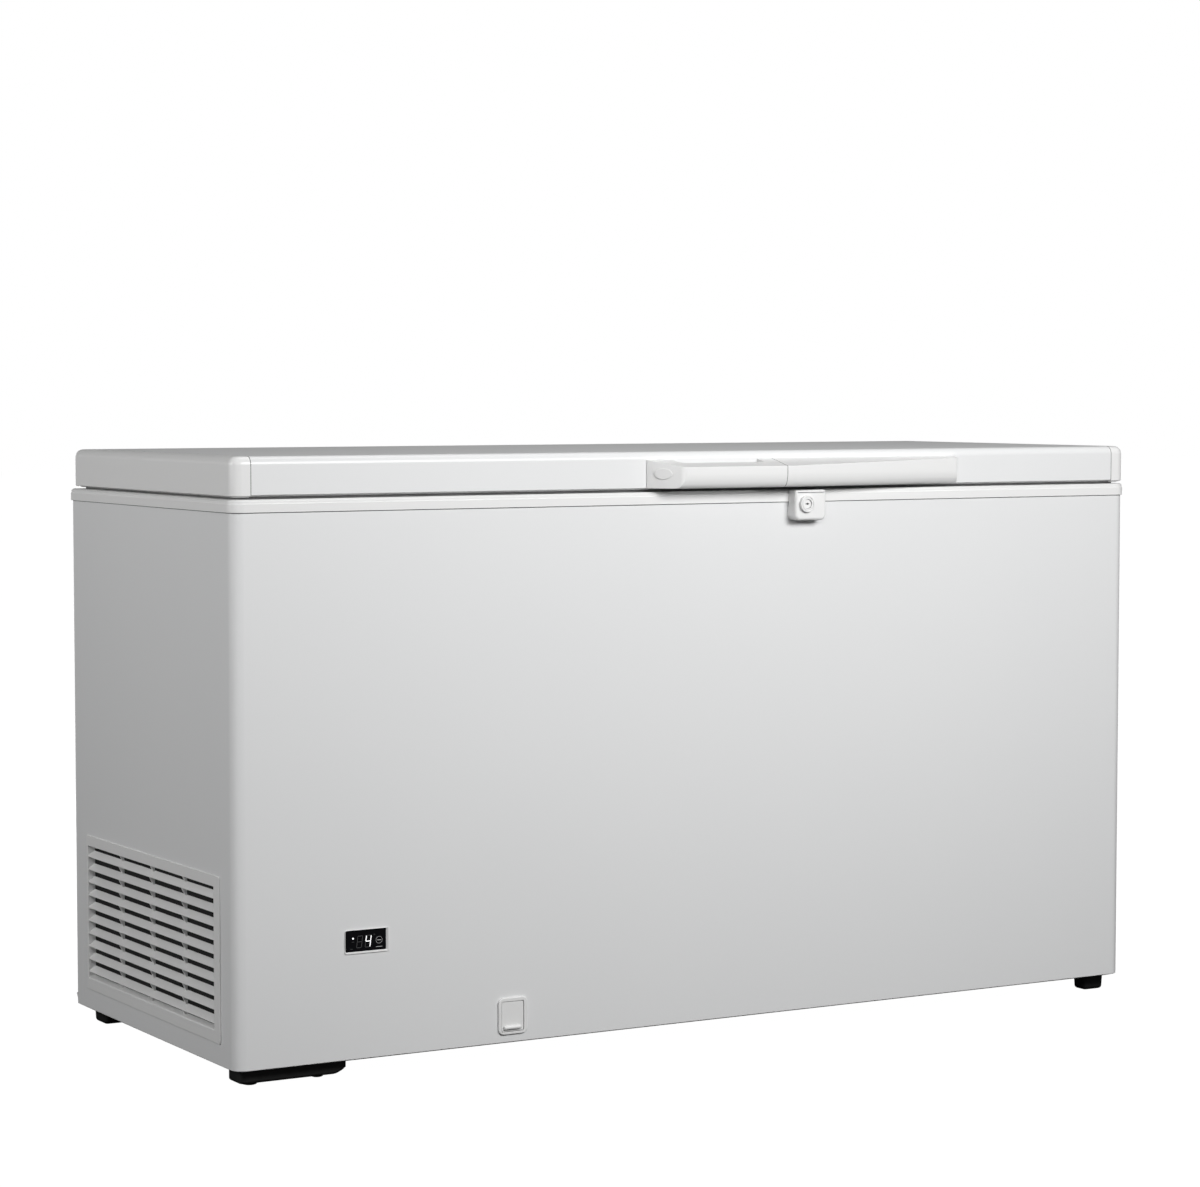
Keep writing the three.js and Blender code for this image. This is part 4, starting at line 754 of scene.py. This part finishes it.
plug_low, plug_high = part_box("lock_barrel")
collar_centre = (collar_x, 0, collar_z)
collar_front = lock_low.y - 5 * MM
COLLAR_RADIUS = 12.8 * MM
PLUG_RADIUS = (plug_high.x - plug_low.x) / 2
ring = barrel("lock_ring", collar_centre, "Y", COLLAR_RADIUS, collar_front, lock_low.y + MM, 64)
round_edges(ring, lambda m, d: near(m.y, collar_front), 0.8 * MM, 4)
groove = barrel("groove", collar_centre, "Y", 10.2 * MM, collar_front - MM, collar_front + MM)
carve(groove, barrel(
    "core", collar_centre, "Y", 9.4 * MM, collar_front - 2 * MM, collar_front + 2 * MM,
))
carve(ring, groove)
carve(ring, barrel(
    "bore", collar_centre, "Y", PLUG_RADIUS + 0.6 * MM, collar_front - MM, lock_low.y + 2 * MM,
))
fit(smooth(ring), "cabinet", "white_plastic", "lock_collar")
fit(refined("lock_barrel", "lock_plug", 0.3 * MM, 3), "lock_barrel", "white_plastic", "lock_barrel")
# painted shade: a black insert on the plug's face stands for the dark inside the keyway
keyhole_shade = block(
    "keyhole_shade",
    (collar_x - 3.0 * MM, plug_low.y - 0.06 * MM, collar_z - 0.7 * MM),
    (collar_x + 3.0 * MM, plug_low.y + 0.6 * MM, collar_z + 0.7 * MM),
)
carve(keyhole_shade, barrel(
    "hub", collar_centre, "Y", 1.5 * MM, plug_low.y - 0.05 * MM, plug_low.y + 0.5 * MM, 24
), "UNION")
fit(smooth(keyhole_shade), "lock_barrel", "black_plastic")
fit(refined("lock_bolt", "lock_tongue", 0.4 * MM), "lock_bolt", "zinc_steel", "lock_bolt")

# %% [markdown]
# ## Side louvre
# A moulded grille with sloping slats: warm air leaves, but fingers and splashes stay out. One
# slat is shaped and copied down the frame, and three ribs tie the slats together.

# %% Side louvre
SLAT_PITCH = 19.6 * MM
SLAT_FIRST = 33.5 * MM
SLATS = 10
SLAT_THICK = 2.2 * MM
SLAT_DEEP = 10 * MM
SLAT_RISE = 7 * MM
SILL_RISE = 3 * MM
RIBS = 3
RIB_HALF = 1.5 * MM

grille = block("side_grille", louvre_low, (wrap_low.x - 0.3 * MM, louvre_high.y, louvre_high.z))
round_edges(grille, lambda m, d: abs(d.x) > 0.9, 3 * MM, 5)
round_edges(grille, lambda m, d: near(m.x, louvre_low.x), 0.8 * MM, 3)
carve(grille, block(
    "sleeve",
    (louvre_low.x + 0.4 * MM, window_low.y - 2 * MM, window_low.z - 2 * MM),
    (louvre_high.x, window_high.y + 2 * MM, window_high.z + 2 * MM),
), "UNION")
carve(grille, block(
    "opening",
    (louvre_low.x - 5 * MM, window_low.y, window_low.z),
    (louvre_high.x + 5 * MM, window_high.y, window_high.z),
))
soften(grille, 0.6 * MM, 2)
middle_z = (louvre_low.z + louvre_high.z) / 2
for y in (louvre_low.y, louvre_high.y):
    carve(grille, block(
        "clip_notch",
        (louvre_low.x - MM, y - 1 * MM, middle_z - 2 * MM),
        (wrap_low.x - 0.6 * MM, y + 1 * MM, middle_z + 2 * MM),
    ))

slat_x = louvre_low.x + 0.6 * MM
slat_top = louvre_high.z - SLAT_FIRST


def sloping_slat(name, z, rise):
    """A slat whose inner edge stands higher than its outer edge, which is rounded."""
    y0 = window_low.y - 0.5 * MM
    y1 = window_high.y + 0.5 * MM
    outline = [(y0, z), (y1, z), (y1, z + SLAT_THICK), (y0, z + SLAT_THICK)]
    made = prism(name, outline, "X", slat_x, slat_x + SLAT_DEEP)
    with editing(made):
        pick(made, "FACE", lambda m, n: n.x > 0.9)
        bpy.ops.transform.translate(value=(0, 0, rise))
    round_edges(made, lambda m, d: abs(d.y) > 0.9 and near(m.x, slat_x), 0.8 * MM, 4)
    return made


slat = sloping_slat("slat", slat_top, SLAT_RISE)
grille_parts = [slat, sloping_slat("sill", window_low.z - 1.1 * MM, SILL_RISE)]
for i in range(1, SLATS):
    grille_parts.append(duplicate(slat, f"slat_{i}", (0, 0, -i * SLAT_PITCH)))

# %% [markdown]
# The ribs are short webs. Each one hangs from a slat's outer edge and slopes in and down to the
# inner edge of the slat below, so the slats stay unbroken lines when seen from outside. A
# near-black sheet lies behind them as painted shade, standing for the dark inside the bay.

# %% Louvre ribs
inner_x = slat_x + SLAT_DEEP
web = prism("web", [
    (slat_x + 1.2 * MM, slat_top + 1 * MM),
    (inner_x, slat_top + SLAT_RISE + 1 * MM),
    (inner_x, slat_top + SLAT_RISE - SLAT_PITCH),
    (inner_x - 2 * MM, slat_top + SLAT_RISE - SLAT_PITCH),
], "Y", -RIB_HALF, RIB_HALF)
for i in range(RIBS):
    y = window_low.y + (window_high.y - window_low.y) * (i + 1) / (RIBS + 1)
    for j in range(-1, SLATS):
        shift = (0, y, -j * SLAT_PITCH)
        grille_parts.append(duplicate(web, f"web_{i}_{j + 1}", shift))
bpy.data.objects.remove(web)
joined(grille, *grille_parts)
fit(smooth(grille), "cabinet", "white_plastic", "side_louvre")
# painted shade: a near-black sheet behind the slats stands for the dark of the machinery bay
bay_shade_sheet = block(
    "bay_shade_sheet",
    (inner_x + 0.8 * MM, window_low.y - 1 * MM, window_low.z - 1 * MM),
    (inner_x + 1.8 * MM, window_high.y + 1 * MM, window_high.z + 1 * MM),
)
round_edges(bay_shade_sheet, lambda m, d: abs(d.x) > 0.9, 3 * MM, 4)
BAY_SHADE_BLACK = dark("bay_shade_black", 0.002, 0.005, 0.9, 1.5 * MM, 0.1 * MM)
fit(smooth(bay_shade_sheet), "cabinet", "black_plastic", finish=BAY_SHADE_BLACK)
print("slats", SLATS, "ribs", RIBS)

# %% [markdown]
# ## Controller display
# A small temperature display: a white bezel with rounded corners and a black glossy lens. Behind
# the lens sit a lit digit, a dark digit, a dot that shows that the freezer runs, and a ring mark.

# %% Display
bezel_low, bezel_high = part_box("display_bezel")
lens_low, lens_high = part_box("display_lens")
LIP = 0.7 * MM
SLOPE = 2.4 * MM
SIDE_SLOPE = 4.2 * MM
RECESS = 2.2 * MM
bezel_low.z -= 1.6 * MM
bezel = block("display_frame", bezel_low, bezel_high)
round_edges(bezel, lambda m, d: abs(d.y) > 0.9, 3.5 * MM, 6)
round_edges(bezel, lambda m, d: near(m.y, bezel_low.y), 0.6 * MM, 3)
glass_back = lens_high.y
hole = block(
    "cutter",
    (bezel_low.x + LIP, bezel_low.y - MM, bezel_low.z + LIP),
    (bezel_high.x - LIP, bezel_low.y + RECESS, bezel_high.z - LIP),
)
with editing(hole):
    pick(hole, "EDGE", lambda m, d: abs(d.z) > 0.9 and m.x > 0.5 * (bezel_low.x + bezel_high.x)
         and near(m.y, bezel_low.y + RECESS))
    bpy.ops.transform.translate(value=(-SIDE_SLOPE, 0, 0))
    pick(hole, "EDGE", lambda m, d: abs(d.x) > 0.9 and m.z < 0.5 * (bezel_low.z + bezel_high.z)
         and near(m.y, bezel_low.y + RECESS))
    bpy.ops.transform.translate(value=(0, 0, SLOPE))
round_edges(hole, lambda m, d: abs(d.y) > 0.8, 2.2 * MM, 5)
carve(bezel, hole)
carve(bezel, block(
    "rear_room",
    (bezel_low.x + LIP, bezel_low.y + RECESS - 0.2 * MM, bezel_low.z + LIP + SLOPE),
    (bezel_high.x - LIP - SIDE_SLOPE, bezel_high.y + MM, bezel_high.z - LIP),
))
fit(smooth(bezel), "cabinet", "white_plastic", "display_bezel")

lens_low = Vector((bezel_low.x + LIP, bezel_low.y + RECESS - 0.6 * MM, bezel_low.z + LIP + SLOPE - 0.2 * MM))
lens_high = Vector((bezel_high.x - LIP - SIDE_SLOPE + 0.2 * MM, glass_back, bezel_high.z - LIP))
lens = block("display_glass", lens_low, lens_high)
round_edges(lens, lambda m, d: abs(d.y) > 0.9, 2.4 * MM, 5)
round_edges(lens, lambda m, d: near(m.y, lens_low.y), 0.7 * MM, 3)
fit(smooth(lens), "cabinet", "black_gloss", "display_lens")
print("lens", [round(v, 4) for v in lens_high - lens_low])

# %% [markdown]
# The digits are seven-segment figures that lean a little. A segment is a thin hexagonal bar, and
# a digit is a choice of segments. Unlit segments still show as faint grey shapes.

# %% Digits
def glow(name, level, strength):
    finish = Finish(name)
    dots = finish.noise(0.4 * MM, detail=1)
    finish.surface(
        Base_Color=finish.blend(dots, grey(level * 0.85), grey(level)),
        Roughness=0.35 + dots * 0.1,
        Emission_Color=finish.blend(dots, grey(0.9), grey(1.0)),
        Emission_Strength=strength,
        Normal=finish.relief(dots, 0.01 * MM),
    )
    return finish.material


LIT = glow("lit_segment", 0.8, 1.0)
UNLIT = glow("unlit_segment", 0.05, 0.0)
# painted light: the printed marks get a faint glow of their own, so they read grey on the black lens
PRINT_GLOW = glow("printed_mark_glow", 0.4, 0.10)

DIGIT_WIDE = 8.6 * MM
DIGIT_TALL = 17.5 * MM
SEGMENT = 1.1 * MM
LEAN = 0.14
SEGMENTS = {
    "a": ((0, 1), (1, 1)), "b": ((1, 1), (1, 0.5)), "c": ((1, 0.5), (1, 0)), "d": ((1, 0), (0, 0)),
    "e": ((0, 0), (0, 0.5)), "f": ((0, 0.5), (0, 1)), "g": ((0, 0.5), (1, 0.5)),
}
face_y = lens_low.y


def segment(name, start, end):
    """One hexagonal bar between two corners of the digit's box, lying on the lens."""
    start = Vector(start)
    end = Vector(end)
    along = (end - start).normalized()
    across = Vector((-along.y, along.x)) * SEGMENT / 2
    gap = along * SEGMENT * 0.12
    tip = along * SEGMENT / 2
    outline = [
        start + gap, start + tip + across, end - tip + across,
        end - gap, end - tip - across, start + tip - across,
    ]
    leaning = [(point.x + LEAN * point.y, point.y) for point in outline]
    return prism(name, leaning, "Y", face_y - 0.12 * MM, face_y + 0.1 * MM)


def digit(name, left, low, lit, finish):
    bars = []
    for letter in lit:
        corners = [
            (left + u * (DIGIT_WIDE - SEGMENT), low + v * (DIGIT_TALL - SEGMENT))
            for u, v in SEGMENTS[letter]
        ]
        bars.append(segment(f"{name}_{letter}", *corners))
    placed = joined(*bars)
    placed.name = name
    placed.data.transform(Matrix.Translation((-LEAN * low, 0, 0)))
    return fit(smooth(placed), "cabinet", "black_gloss", finish=finish)


digits_low = lens_low.z + 5.6 * MM
digit("digit_tens", lens_low.x + 18.0 * MM, digits_low, "abcdefg", UNLIT)
digit("digit_units", lens_low.x + 31.4 * MM, digits_low, "bcfg", LIT)
digit("digit_units_unlit", lens_low.x + 31.4 * MM, digits_low, "ade", UNLIT)


def lens_mark(name, x, z, radius, finish, hole_radius=0.0):
    """A round mark or ring on the lens, from places measured from the lens's lower left corner."""
    centre = (lens_low.x + x, 0, lens_low.z + z)
    mark = barrel(name, centre, "Y", radius, face_y - 0.12 * MM, face_y + 0.1 * MM, 32)
    if hole_radius > 0:
        carve(mark, barrel("cutter", centre, "Y", hole_radius, face_y - MM, face_y + MM, 32))
    round_edges(mark, lambda m, d: near(m.y, face_y - 0.12 * MM), 0.04 * MM, 1)
    return fit(smooth(mark), "cabinet", "black_gloss", finish=finish)


lens_mark("running_dot", 12.6 * MM, 19.0 * MM, 1.3 * MM, LIT)
lens_mark("degree_mark", 46.2 * MM, 22.4 * MM, 1.1 * MM, UNLIT, 0.6 * MM)
lens_mark("mode_ring", 53.4 * MM, 14.2 * MM, 5.0 * MM, PRINT_GLOW, 4.6 * MM)


def lens_bar(name, x, z, wide, tall, finish):
    low = (lens_low.x + x, face_y - 0.12 * MM, lens_low.z + z)
    high = (lens_low.x + x + wide, face_y + 0.1 * MM, lens_low.z + z + tall)
    bar = block(name, low, high)
    round_edges(bar, lambda m, d: abs(d.y) > 0.9, 0.2 * MM, 2)
    return fit(smooth(bar), "cabinet", "black_gloss", finish=finish)


lens_bar("mode_needle", 50.6 * MM, 13.8 * MM, 5.6 * MM, 0.9 * MM, PRINT_GLOW)
lens_bar("scale_dash", 10.4 * MM, 13.9 * MM, 4.0 * MM, 0.7 * MM, UNLIT)
lens_bar("mode_bar", 48.6 * MM, 4.4 * MM, 9.6 * MM, 0.7 * MM, PRINT_GLOW)
lens_bar("hand_mark", 8.4 * MM, 3.8 * MM, 4.0 * MM, 0.8 * MM, UNLIT)
print("display pieces made")

# %% [markdown]
# ## Defrost drain
# A framed port low on the front with a small hinged flap. The flap's lower edge curls outward to
# be caught with a finger. A dark plate closes the well behind it; its darkness is painted shade of the recess.

# %% Drain
drain_low, drain_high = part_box("drain_frame")
flap_low, flap_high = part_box("drain_flap")
flap_low.x -= 1.6 * MM
flap_high.x -= 1.2 * MM
surround = block(
    "drain_surround",
    (drain_low.x - 1.8 * MM, drain_low.y, drain_low.z + 0.8 * MM),
    (drain_high.x + 0.2 * MM, wrap_low.y - 0.1 * MM, drain_high.z + 1 * MM),
)
round_edges(surround, lambda m, d: abs(d.y) > 0.9, 9 * MM, 8)
round_edges(surround, lambda m, d: near(m.y, drain_low.y), 1.5 * MM, 5)
port = block(
    "cutter",
    (flap_low.x - 0.8 * MM, drain_low.y - 5 * MM, flap_low.z - 0.8 * MM),
    (flap_high.x + 0.8 * MM, drain_high.y + 5 * MM, flap_high.z + 0.8 * MM),
)
round_edges(port, lambda m, d: abs(d.y) > 0.9, 3 * MM, 5)
carve(surround, port)
soften(surround, 0.5 * MM, 2, 50)
fit(smooth(surround), "cabinet", "white_plastic", "drain_frame")

FLAP_THICK = 1.8 * MM
LIP_RADIUS = 3.2 * MM
flap_face = wrap_low.y - 2.2 * MM
flap = block(
    "drain_door", (flap_low.x, flap_face, flap_low.z), (flap_high.x, flap_face + FLAP_THICK, flap_high.z)
)
round_edges(flap, lambda m, d: abs(d.y) > 0.9, 2.5 * MM, 4)
round_edges(flap, lambda m, d: near(m.y, flap_face), 0.5 * MM, 2)
lip_x = (flap_low.x + 2.9 * MM, flap_high.x - 4.6 * MM)
lip = barrel("lip", (0, flap_face - 0.8 * MM, flap_low.z + 5.6 * MM), "X", LIP_RADIUS, *lip_x, 24)
round_edges(lip, lambda m, d: near(abs(m.x - sum(lip_x) / 2), (lip_x[1] - lip_x[0]) / 2), 1.4 * MM, 4)
carve(flap, lip, "UNION")
fit(smooth(flap), "drain_flap", "white_plastic", "drain_flap")
# painted shade: the well's back plate is dark so the recess reads as shade
well = block(
    "drain_well_shade",
    (flap_low.x - 2.2 * MM, flap_face + FLAP_THICK + 1.5 * MM, flap_low.z - 2.2 * MM),
    (flap_high.x + 2.2 * MM, flap_face + FLAP_THICK + 2.5 * MM, flap_high.z + 2.2 * MM),
)
round_edges(well, lambda m, d: abs(d.y) > 0.9, 3 * MM, 5)
fit(smooth(well), "cabinet", "rubber")
fit(refined("drain_tube", "drain_hose", 0.3 * MM), "cabinet", "white_plastic", "drain_tube")
fit(refined("drain_plug", "floor_plug", 0.4 * MM), "drain_plug", "white_plastic", "drain_plug")

# %% [markdown]
# ## Feet
# A long black skid with two rubber pads carries the heavy end at the front left, and its right
# end is cut back like a boat's bow. Moulded block feet stand under the other corners.

# %% Feet
skid_low, skid_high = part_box("front_left_skid")
skid_low.x -= 3 * MM
SKID_RUN = 18 * MM
SKID_LIFT = 8 * MM
skid = prism("left_skid", [
    (skid_low.x, skid_high.z),
    (skid_low.x, skid_low.z),
    (skid_high.x - SKID_RUN, skid_low.z),
    (skid_high.x, skid_low.z + SKID_LIFT),
    (skid_high.x, skid_high.z),
], "Y", skid_low.y, skid_high.y)
round_edges(skid, lambda m, d: abs(d.z) > 0.9, 9 * MM, 6)
round_edges(skid, lambda m, d: m.z < skid_low.z + 0.9 * SKID_LIFT and abs(d.z) < 0.6, 4 * MM, 5)
fit(smooth(skid, 50), "cabinet", "black_plastic", "front_left_skid")

for i in (1, 2):
    low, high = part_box(f"skid_pad_{i}")
    radius = (high.x - low.x) / 2
    tall = high.z - low.z
    profile = [(0, 0), (radius * 0.62, 0), (radius * 0.8, tall * 0.15), (radius * 0.94, tall * 0.5),
               (radius, tall * 0.9), (radius, tall), (0, tall)]
    centre = ((low.x + high.x) / 2, (low.y + high.y) / 2, low.z)
    fit(smooth(spun(f"skid_rubber_{i}", profile, centre)), "cabinet", "rubber", f"skid_pad_{i}")

FOOT_GROWTH = (
    ("front_right_foot", (0, 0, 0), (5, 0, 0)),
    ("rear_left_foot", (-8, -14, 0), (0, 0, 0)),
    ("rear_right_foot", (0, -14, 0), (8, 0, 0)),
)
for node, below, above in FOOT_GROWTH:
    low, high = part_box(node)
    low += Vector(below) * MM
    high += Vector(above) * MM
    foot = block(f"{node}_block", low, high)
    with editing(foot):
        pick(foot, "FACE", lambda m, n: n.z < -0.9)
        bpy.ops.transform.resize(value=(0.93, 0.93, 1), center_override=(low + high) / 2)
    round_edges(foot, lambda m, d: abs(d.z) > 0.8, 7 * MM, 6)
    round_edges(foot, lambda m, d: near(m.z, low.z), 5 * MM, 6)
    fit(smooth(foot, 50), "cabinet", "black_plastic", node)
print("feet made")

# %% [markdown]
# ## Hinges
# Each hinge is a leaf with two knuckles on the cabinet, a leaf with one knuckle on the lid, and a
# pin. Screws with cross slots hold both leaves.

# %% Hinges
for side in ("left", "right"):
    for node, body, slot_name in (
        (f"hinge_base_{side}", "cabinet", "zinc_steel"),
        (f"hinge_arm_{side}", "lid", "zinc_steel"),
        (f"hinge_pin_{side}", "cabinet", "pin_chrome"),
    ):
        fit(refined(node, f"{node}_metal", 0.4 * MM), body, slot_name, node)

SCREW_RADIUS = 3.6 * MM
SCREW_TALL = 1.8 * MM
SLOT = 0.55 * MM


def screw(name, x, y, z):
    """A domed cross-slot screw head whose flat side lies at y, facing back."""
    head = barrel(name, (x, 0, z), "Y", SCREW_RADIUS, y, y + SCREW_TALL, 24)
    round_edges(head, lambda m, d: near(m.y, y + SCREW_TALL, 0.01 * MM), 1.1 * MM, 3)
    reach = SCREW_RADIUS * 0.55
    for half_x, half_z in ((reach, SLOT), (SLOT, reach)):
        slot_cut = block(
            "cutter",
            (x - half_x, y + SCREW_TALL * 0.4, z - half_z),
            (x + half_x, y + 2 * SCREW_TALL, z + half_z),
        )
        carve(head, slot_cut)
    return smooth(head)


def screws(name, body, places):
    first = Vector(places[0])
    pattern = screw(name, *first)
    others = [
        duplicate(pattern, f"{name}_{i}", Vector(place) - first)
        for i, place in enumerate(places[1:])
    ]
    joined(pattern, *others)
    return fit(pattern, body, "zinc_steel")


for side in ("left", "right"):
    low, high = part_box(f"hinge_base_{side}")
    leaf = low.y + 2 * MM
    places = [(low.x + dx, leaf, low.z + dz) for dx in (12 * MM, 48 * MM) for dz in (14 * MM, 38 * MM)]
    screws(f"hinge_screws_{side}", "cabinet", places)
    low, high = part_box(f"hinge_arm_{side}")
    places = [(low.x + dx, leaf, high.z - 10 * MM) for dx in (8 * MM, 30 * MM, 52 * MM)]
    screws(f"lid_screws_{side}", "lid", places)

panel_low, panel_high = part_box("rear_panel")
panel_places = []
for i in range(9):
    x = panel_low.x + 24 * MM + i * (panel_high.x - panel_low.x - 48 * MM) / 8
    panel_places.append((x, panel_high.y, panel_low.z + 10 * MM))
for i in range(1, 6):
    z = panel_low.z + 10 * MM + i * 130 * MM
    panel_places.append((panel_low.x + 24 * MM, panel_high.y, z))
    panel_places.append((panel_high.x - 24 * MM, panel_high.y, z))
screws("panel_screws", "cabinet", panel_places)

# %% [markdown]
# ## Storage space
# The liner is a box with a raised step over the machinery. Its corners are rounded so that it can
# be wiped clean.

# %% Liner
liner_low, liner_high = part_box("inner_liner")
step_top = 368 * MM
step_right = -437.5 * MM
skin = 0.8 * MM
liner = prism("storage_liner", [
    (liner_low.x + skin, liner_high.z),
    (liner_low.x + skin, step_top),
    (step_right, step_top),
    (step_right, liner_low.z + skin),
    (liner_high.x - skin, liner_low.z + skin),
    (liner_high.x - skin, liner_high.z),
], "Y", liner_low.y + skin, liner_high.y - skin)
open_face(liner, lambda m, n: n.z > 0.9 and m.z > 0.7)
with editing(liner):
    pick(liner, "EDGE", lambda m, d: m.z < liner_high.z - MM)
    bpy.ops.mesh.bevel(offset=9 * MM, segments=5, affect="EDGES")
modified(liner, "SOLIDIFY", thickness=skin, offset=1, use_even_offset=True)
plug_low, plug_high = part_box("drain_plug")
drain_x = (plug_low.x + plug_high.x) / 2
drain_y = (plug_low.y + plug_high.y) / 2
carve(liner, barrel("cutter", (drain_x, drain_y, 0), "Z", 6.6 * MM, 0.09, 0.12))
fit(smooth(liner), "cabinet", "liner_white", "inner_liner")

# %% [markdown]
# ## Baskets
# Coated steel wire, bent into hoops and welded to a thicker top rail. A wire is a few corners
# with rounded bends, turned into a curve, given its thickness and turned into a mesh again.

# %% Baskets
def wire(name, corners, radius, bend, closed=True):
    bpy.ops.object.select_all(action="DESELECT")
    bpy.ops.mesh.primitive_circle_add(vertices=len(corners), fill_type="NOTHING")
    obj = bpy.context.object
    obj.name = name
    for vertex, corner in zip(obj.data.vertices, corners):
        vertex.co = corner
    with editing(obj):
        if not closed:
            bpy.ops.mesh.select_mode(type="EDGE")
            mesh = bmesh.from_edit_mesh(obj.data)
            mesh.edges.ensure_lookup_table()
            last = len(corners) - 1
            for edge in mesh.edges:
                edge.select_set({v.index for v in edge.verts} == {0, last})
            bmesh.update_edit_mesh(obj.data)
            bpy.ops.mesh.delete(type="EDGE")
        bpy.ops.mesh.select_mode(type="VERT")
        bpy.ops.mesh.select_all(action="SELECT")
        bpy.ops.mesh.bevel(offset=bend, segments=3, affect="VERTICES")
    only(obj)
    bpy.ops.object.convert(target="CURVE")
    obj.data.bevel_depth = radius
    obj.data.bevel_resolution = 1
    obj.data.use_fill_caps = True
    bpy.ops.object.convert(target="MESH")
    return bpy.context.object


RAIL = 3 * MM
WIRE = 1.5 * MM
RAIL_DROP = 17 * MM
LONG_HOOPS = 11
CROSS_HOOPS = 18


def basket(node, body):
    low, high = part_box(node)
    hook_front = low.y
    hook_back = high.y
    y0 = hook_front + 18 * MM
    y1 = hook_back - 18 * MM
    x0 = low.x + RAIL
    x1 = high.x - RAIL
    top = high.z - RAIL_DROP
    base = low.z + WIRE
    rail = [(x0, y0, top), (x1, y0, top), (x1, y1, top), (x0, y1, top)]
    wires = [wire(f"{node}_rail", rail, RAIL, 14 * MM)]
    belt = [(x, y, (top + base) / 2) for x, y, _ in rail]
    wires.append(wire(f"{node}_belt", belt, WIRE, 14 * MM))
    for i in range(LONG_HOOPS):
        x = x0 + (x1 - x0) * (i + 0.5) / LONG_HOOPS
        hoop = [(x, y0, top), (x, y0, base), (x, y1, base), (x, y1, top)]
        wires.append(wire(f"{node}_long_{i}", hoop, WIRE, 12 * MM, False))
    for i in range(CROSS_HOOPS):
        y = y0 + (y1 - y0) * (i + 0.5) / CROSS_HOOPS
        hoop = [(x0, y, top), (x0, y, base), (x1, y, base), (x1, y, top)]
        wires.append(wire(f"{node}_cross_{i}", hoop, WIRE, 12 * MM, False))
    for x in (x0 + 40 * MM, x1 - 40 * MM):
        for edge, hook in ((y0, hook_front), (y1, hook_back)):
            sign = 1 if hook > edge else -1
            peg = [
                (x, edge, top - 8 * MM),
                (x, edge + sign * 1 * MM, high.z - 2 * MM),
                (x, hook - sign * 2 * MM, high.z - 2 * MM),
            ]
            wires.append(wire(f"{node}_hook", peg, 2 * MM, 4 * MM, False))
    made = joined(*wires)
    made.name = f"{node}_wires"
    return fit(smooth(made, 60), body, "white_steel", node)


for side in ("left", "right"):
    made = basket(f"basket_{side}", f"basket_{side}")
    print(made.name, len(made.data.polygons), "faces")

# %% [markdown]
# ## Machinery
# The compressor, condenser and fan stand in the bay behind the louvre, and are seen from below.
# Near-black sheets of painted shade close the louvre and the vents at the back, so the bay reads dark.

# %% Machinery
# painted shade: a black sheet over the back vents keeps the bay dark
vent_shade_sheet = block(
    "vent_shade_sheet",
    (panel_low.x + 30 * MM, panel_low.y - 4 * MM, panel_low.z + 35 * MM),
    (panel_low.x + 255 * MM, panel_low.y - 2.5 * MM, panel_low.z + 225 * MM),
)
round_edges(vent_shade_sheet, lambda m, d: abs(d.y) > 0.9, 6 * MM, 4)
fit(smooth(vent_shade_sheet), "cabinet", "black_plastic")
MACHINERY = (
    ("compressor", "cabinet", "black_enamel", 0.8 * MM, 35),
    ("start_relay_box", "cabinet", "black_plastic", 0.8 * MM, 35),
    ("condenser_core", "cabinet", "aluminium", 0.0, 35),
    ("fan_bracket", "cabinet", "zinc_steel", 0.4 * MM, 35),
    ("fan_motor", "cabinet", "black_plastic", 0.8 * MM, 35),
    ("fan_rotor", "fan", "aluminium", 0.3 * MM, 35),
    ("filter_drier", "cabinet", "copper", 0.0, 50),
    ("discharge_pipe", "cabinet", "copper", 0.0, 70),
    ("suction_pipe", "cabinet", "copper", 0.0, 70),
    ("compressor_tray", "cabinet", "zinc_steel", 0.0, 35),
    ("base_panel", "cabinet", "zinc_steel", 0.0, 35),
)
for node, body, slot_name, edge, angle in MACHINERY:
    fit(refined(node, f"{node}_part", edge, 2, angle), body, slot_name, node)
for i in range(1, 5):
    node = f"compressor_grommet_{i}"
    fit(refined(node, f"{node}_rubber", 0.4 * MM), "cabinet", "rubber", node)

# %% [markdown]
# ## Carried-over solids
# The foam and the display's electronics are never seen from outside, so their solids are kept as
# they are and only get a finish.

# %% Carried over
for node, slot_name in (
    ("cabinet_foam", "foam"),
    ("lid_foam", "foam"),
    ("display_module", "black_plastic"),
):
    nodes[node].data.materials.clear()
    nodes[node].data.materials.append(FINISHES[slot_name])
print("frame nodes still shown", [n for n, o in nodes.items() if not o.hide_render])
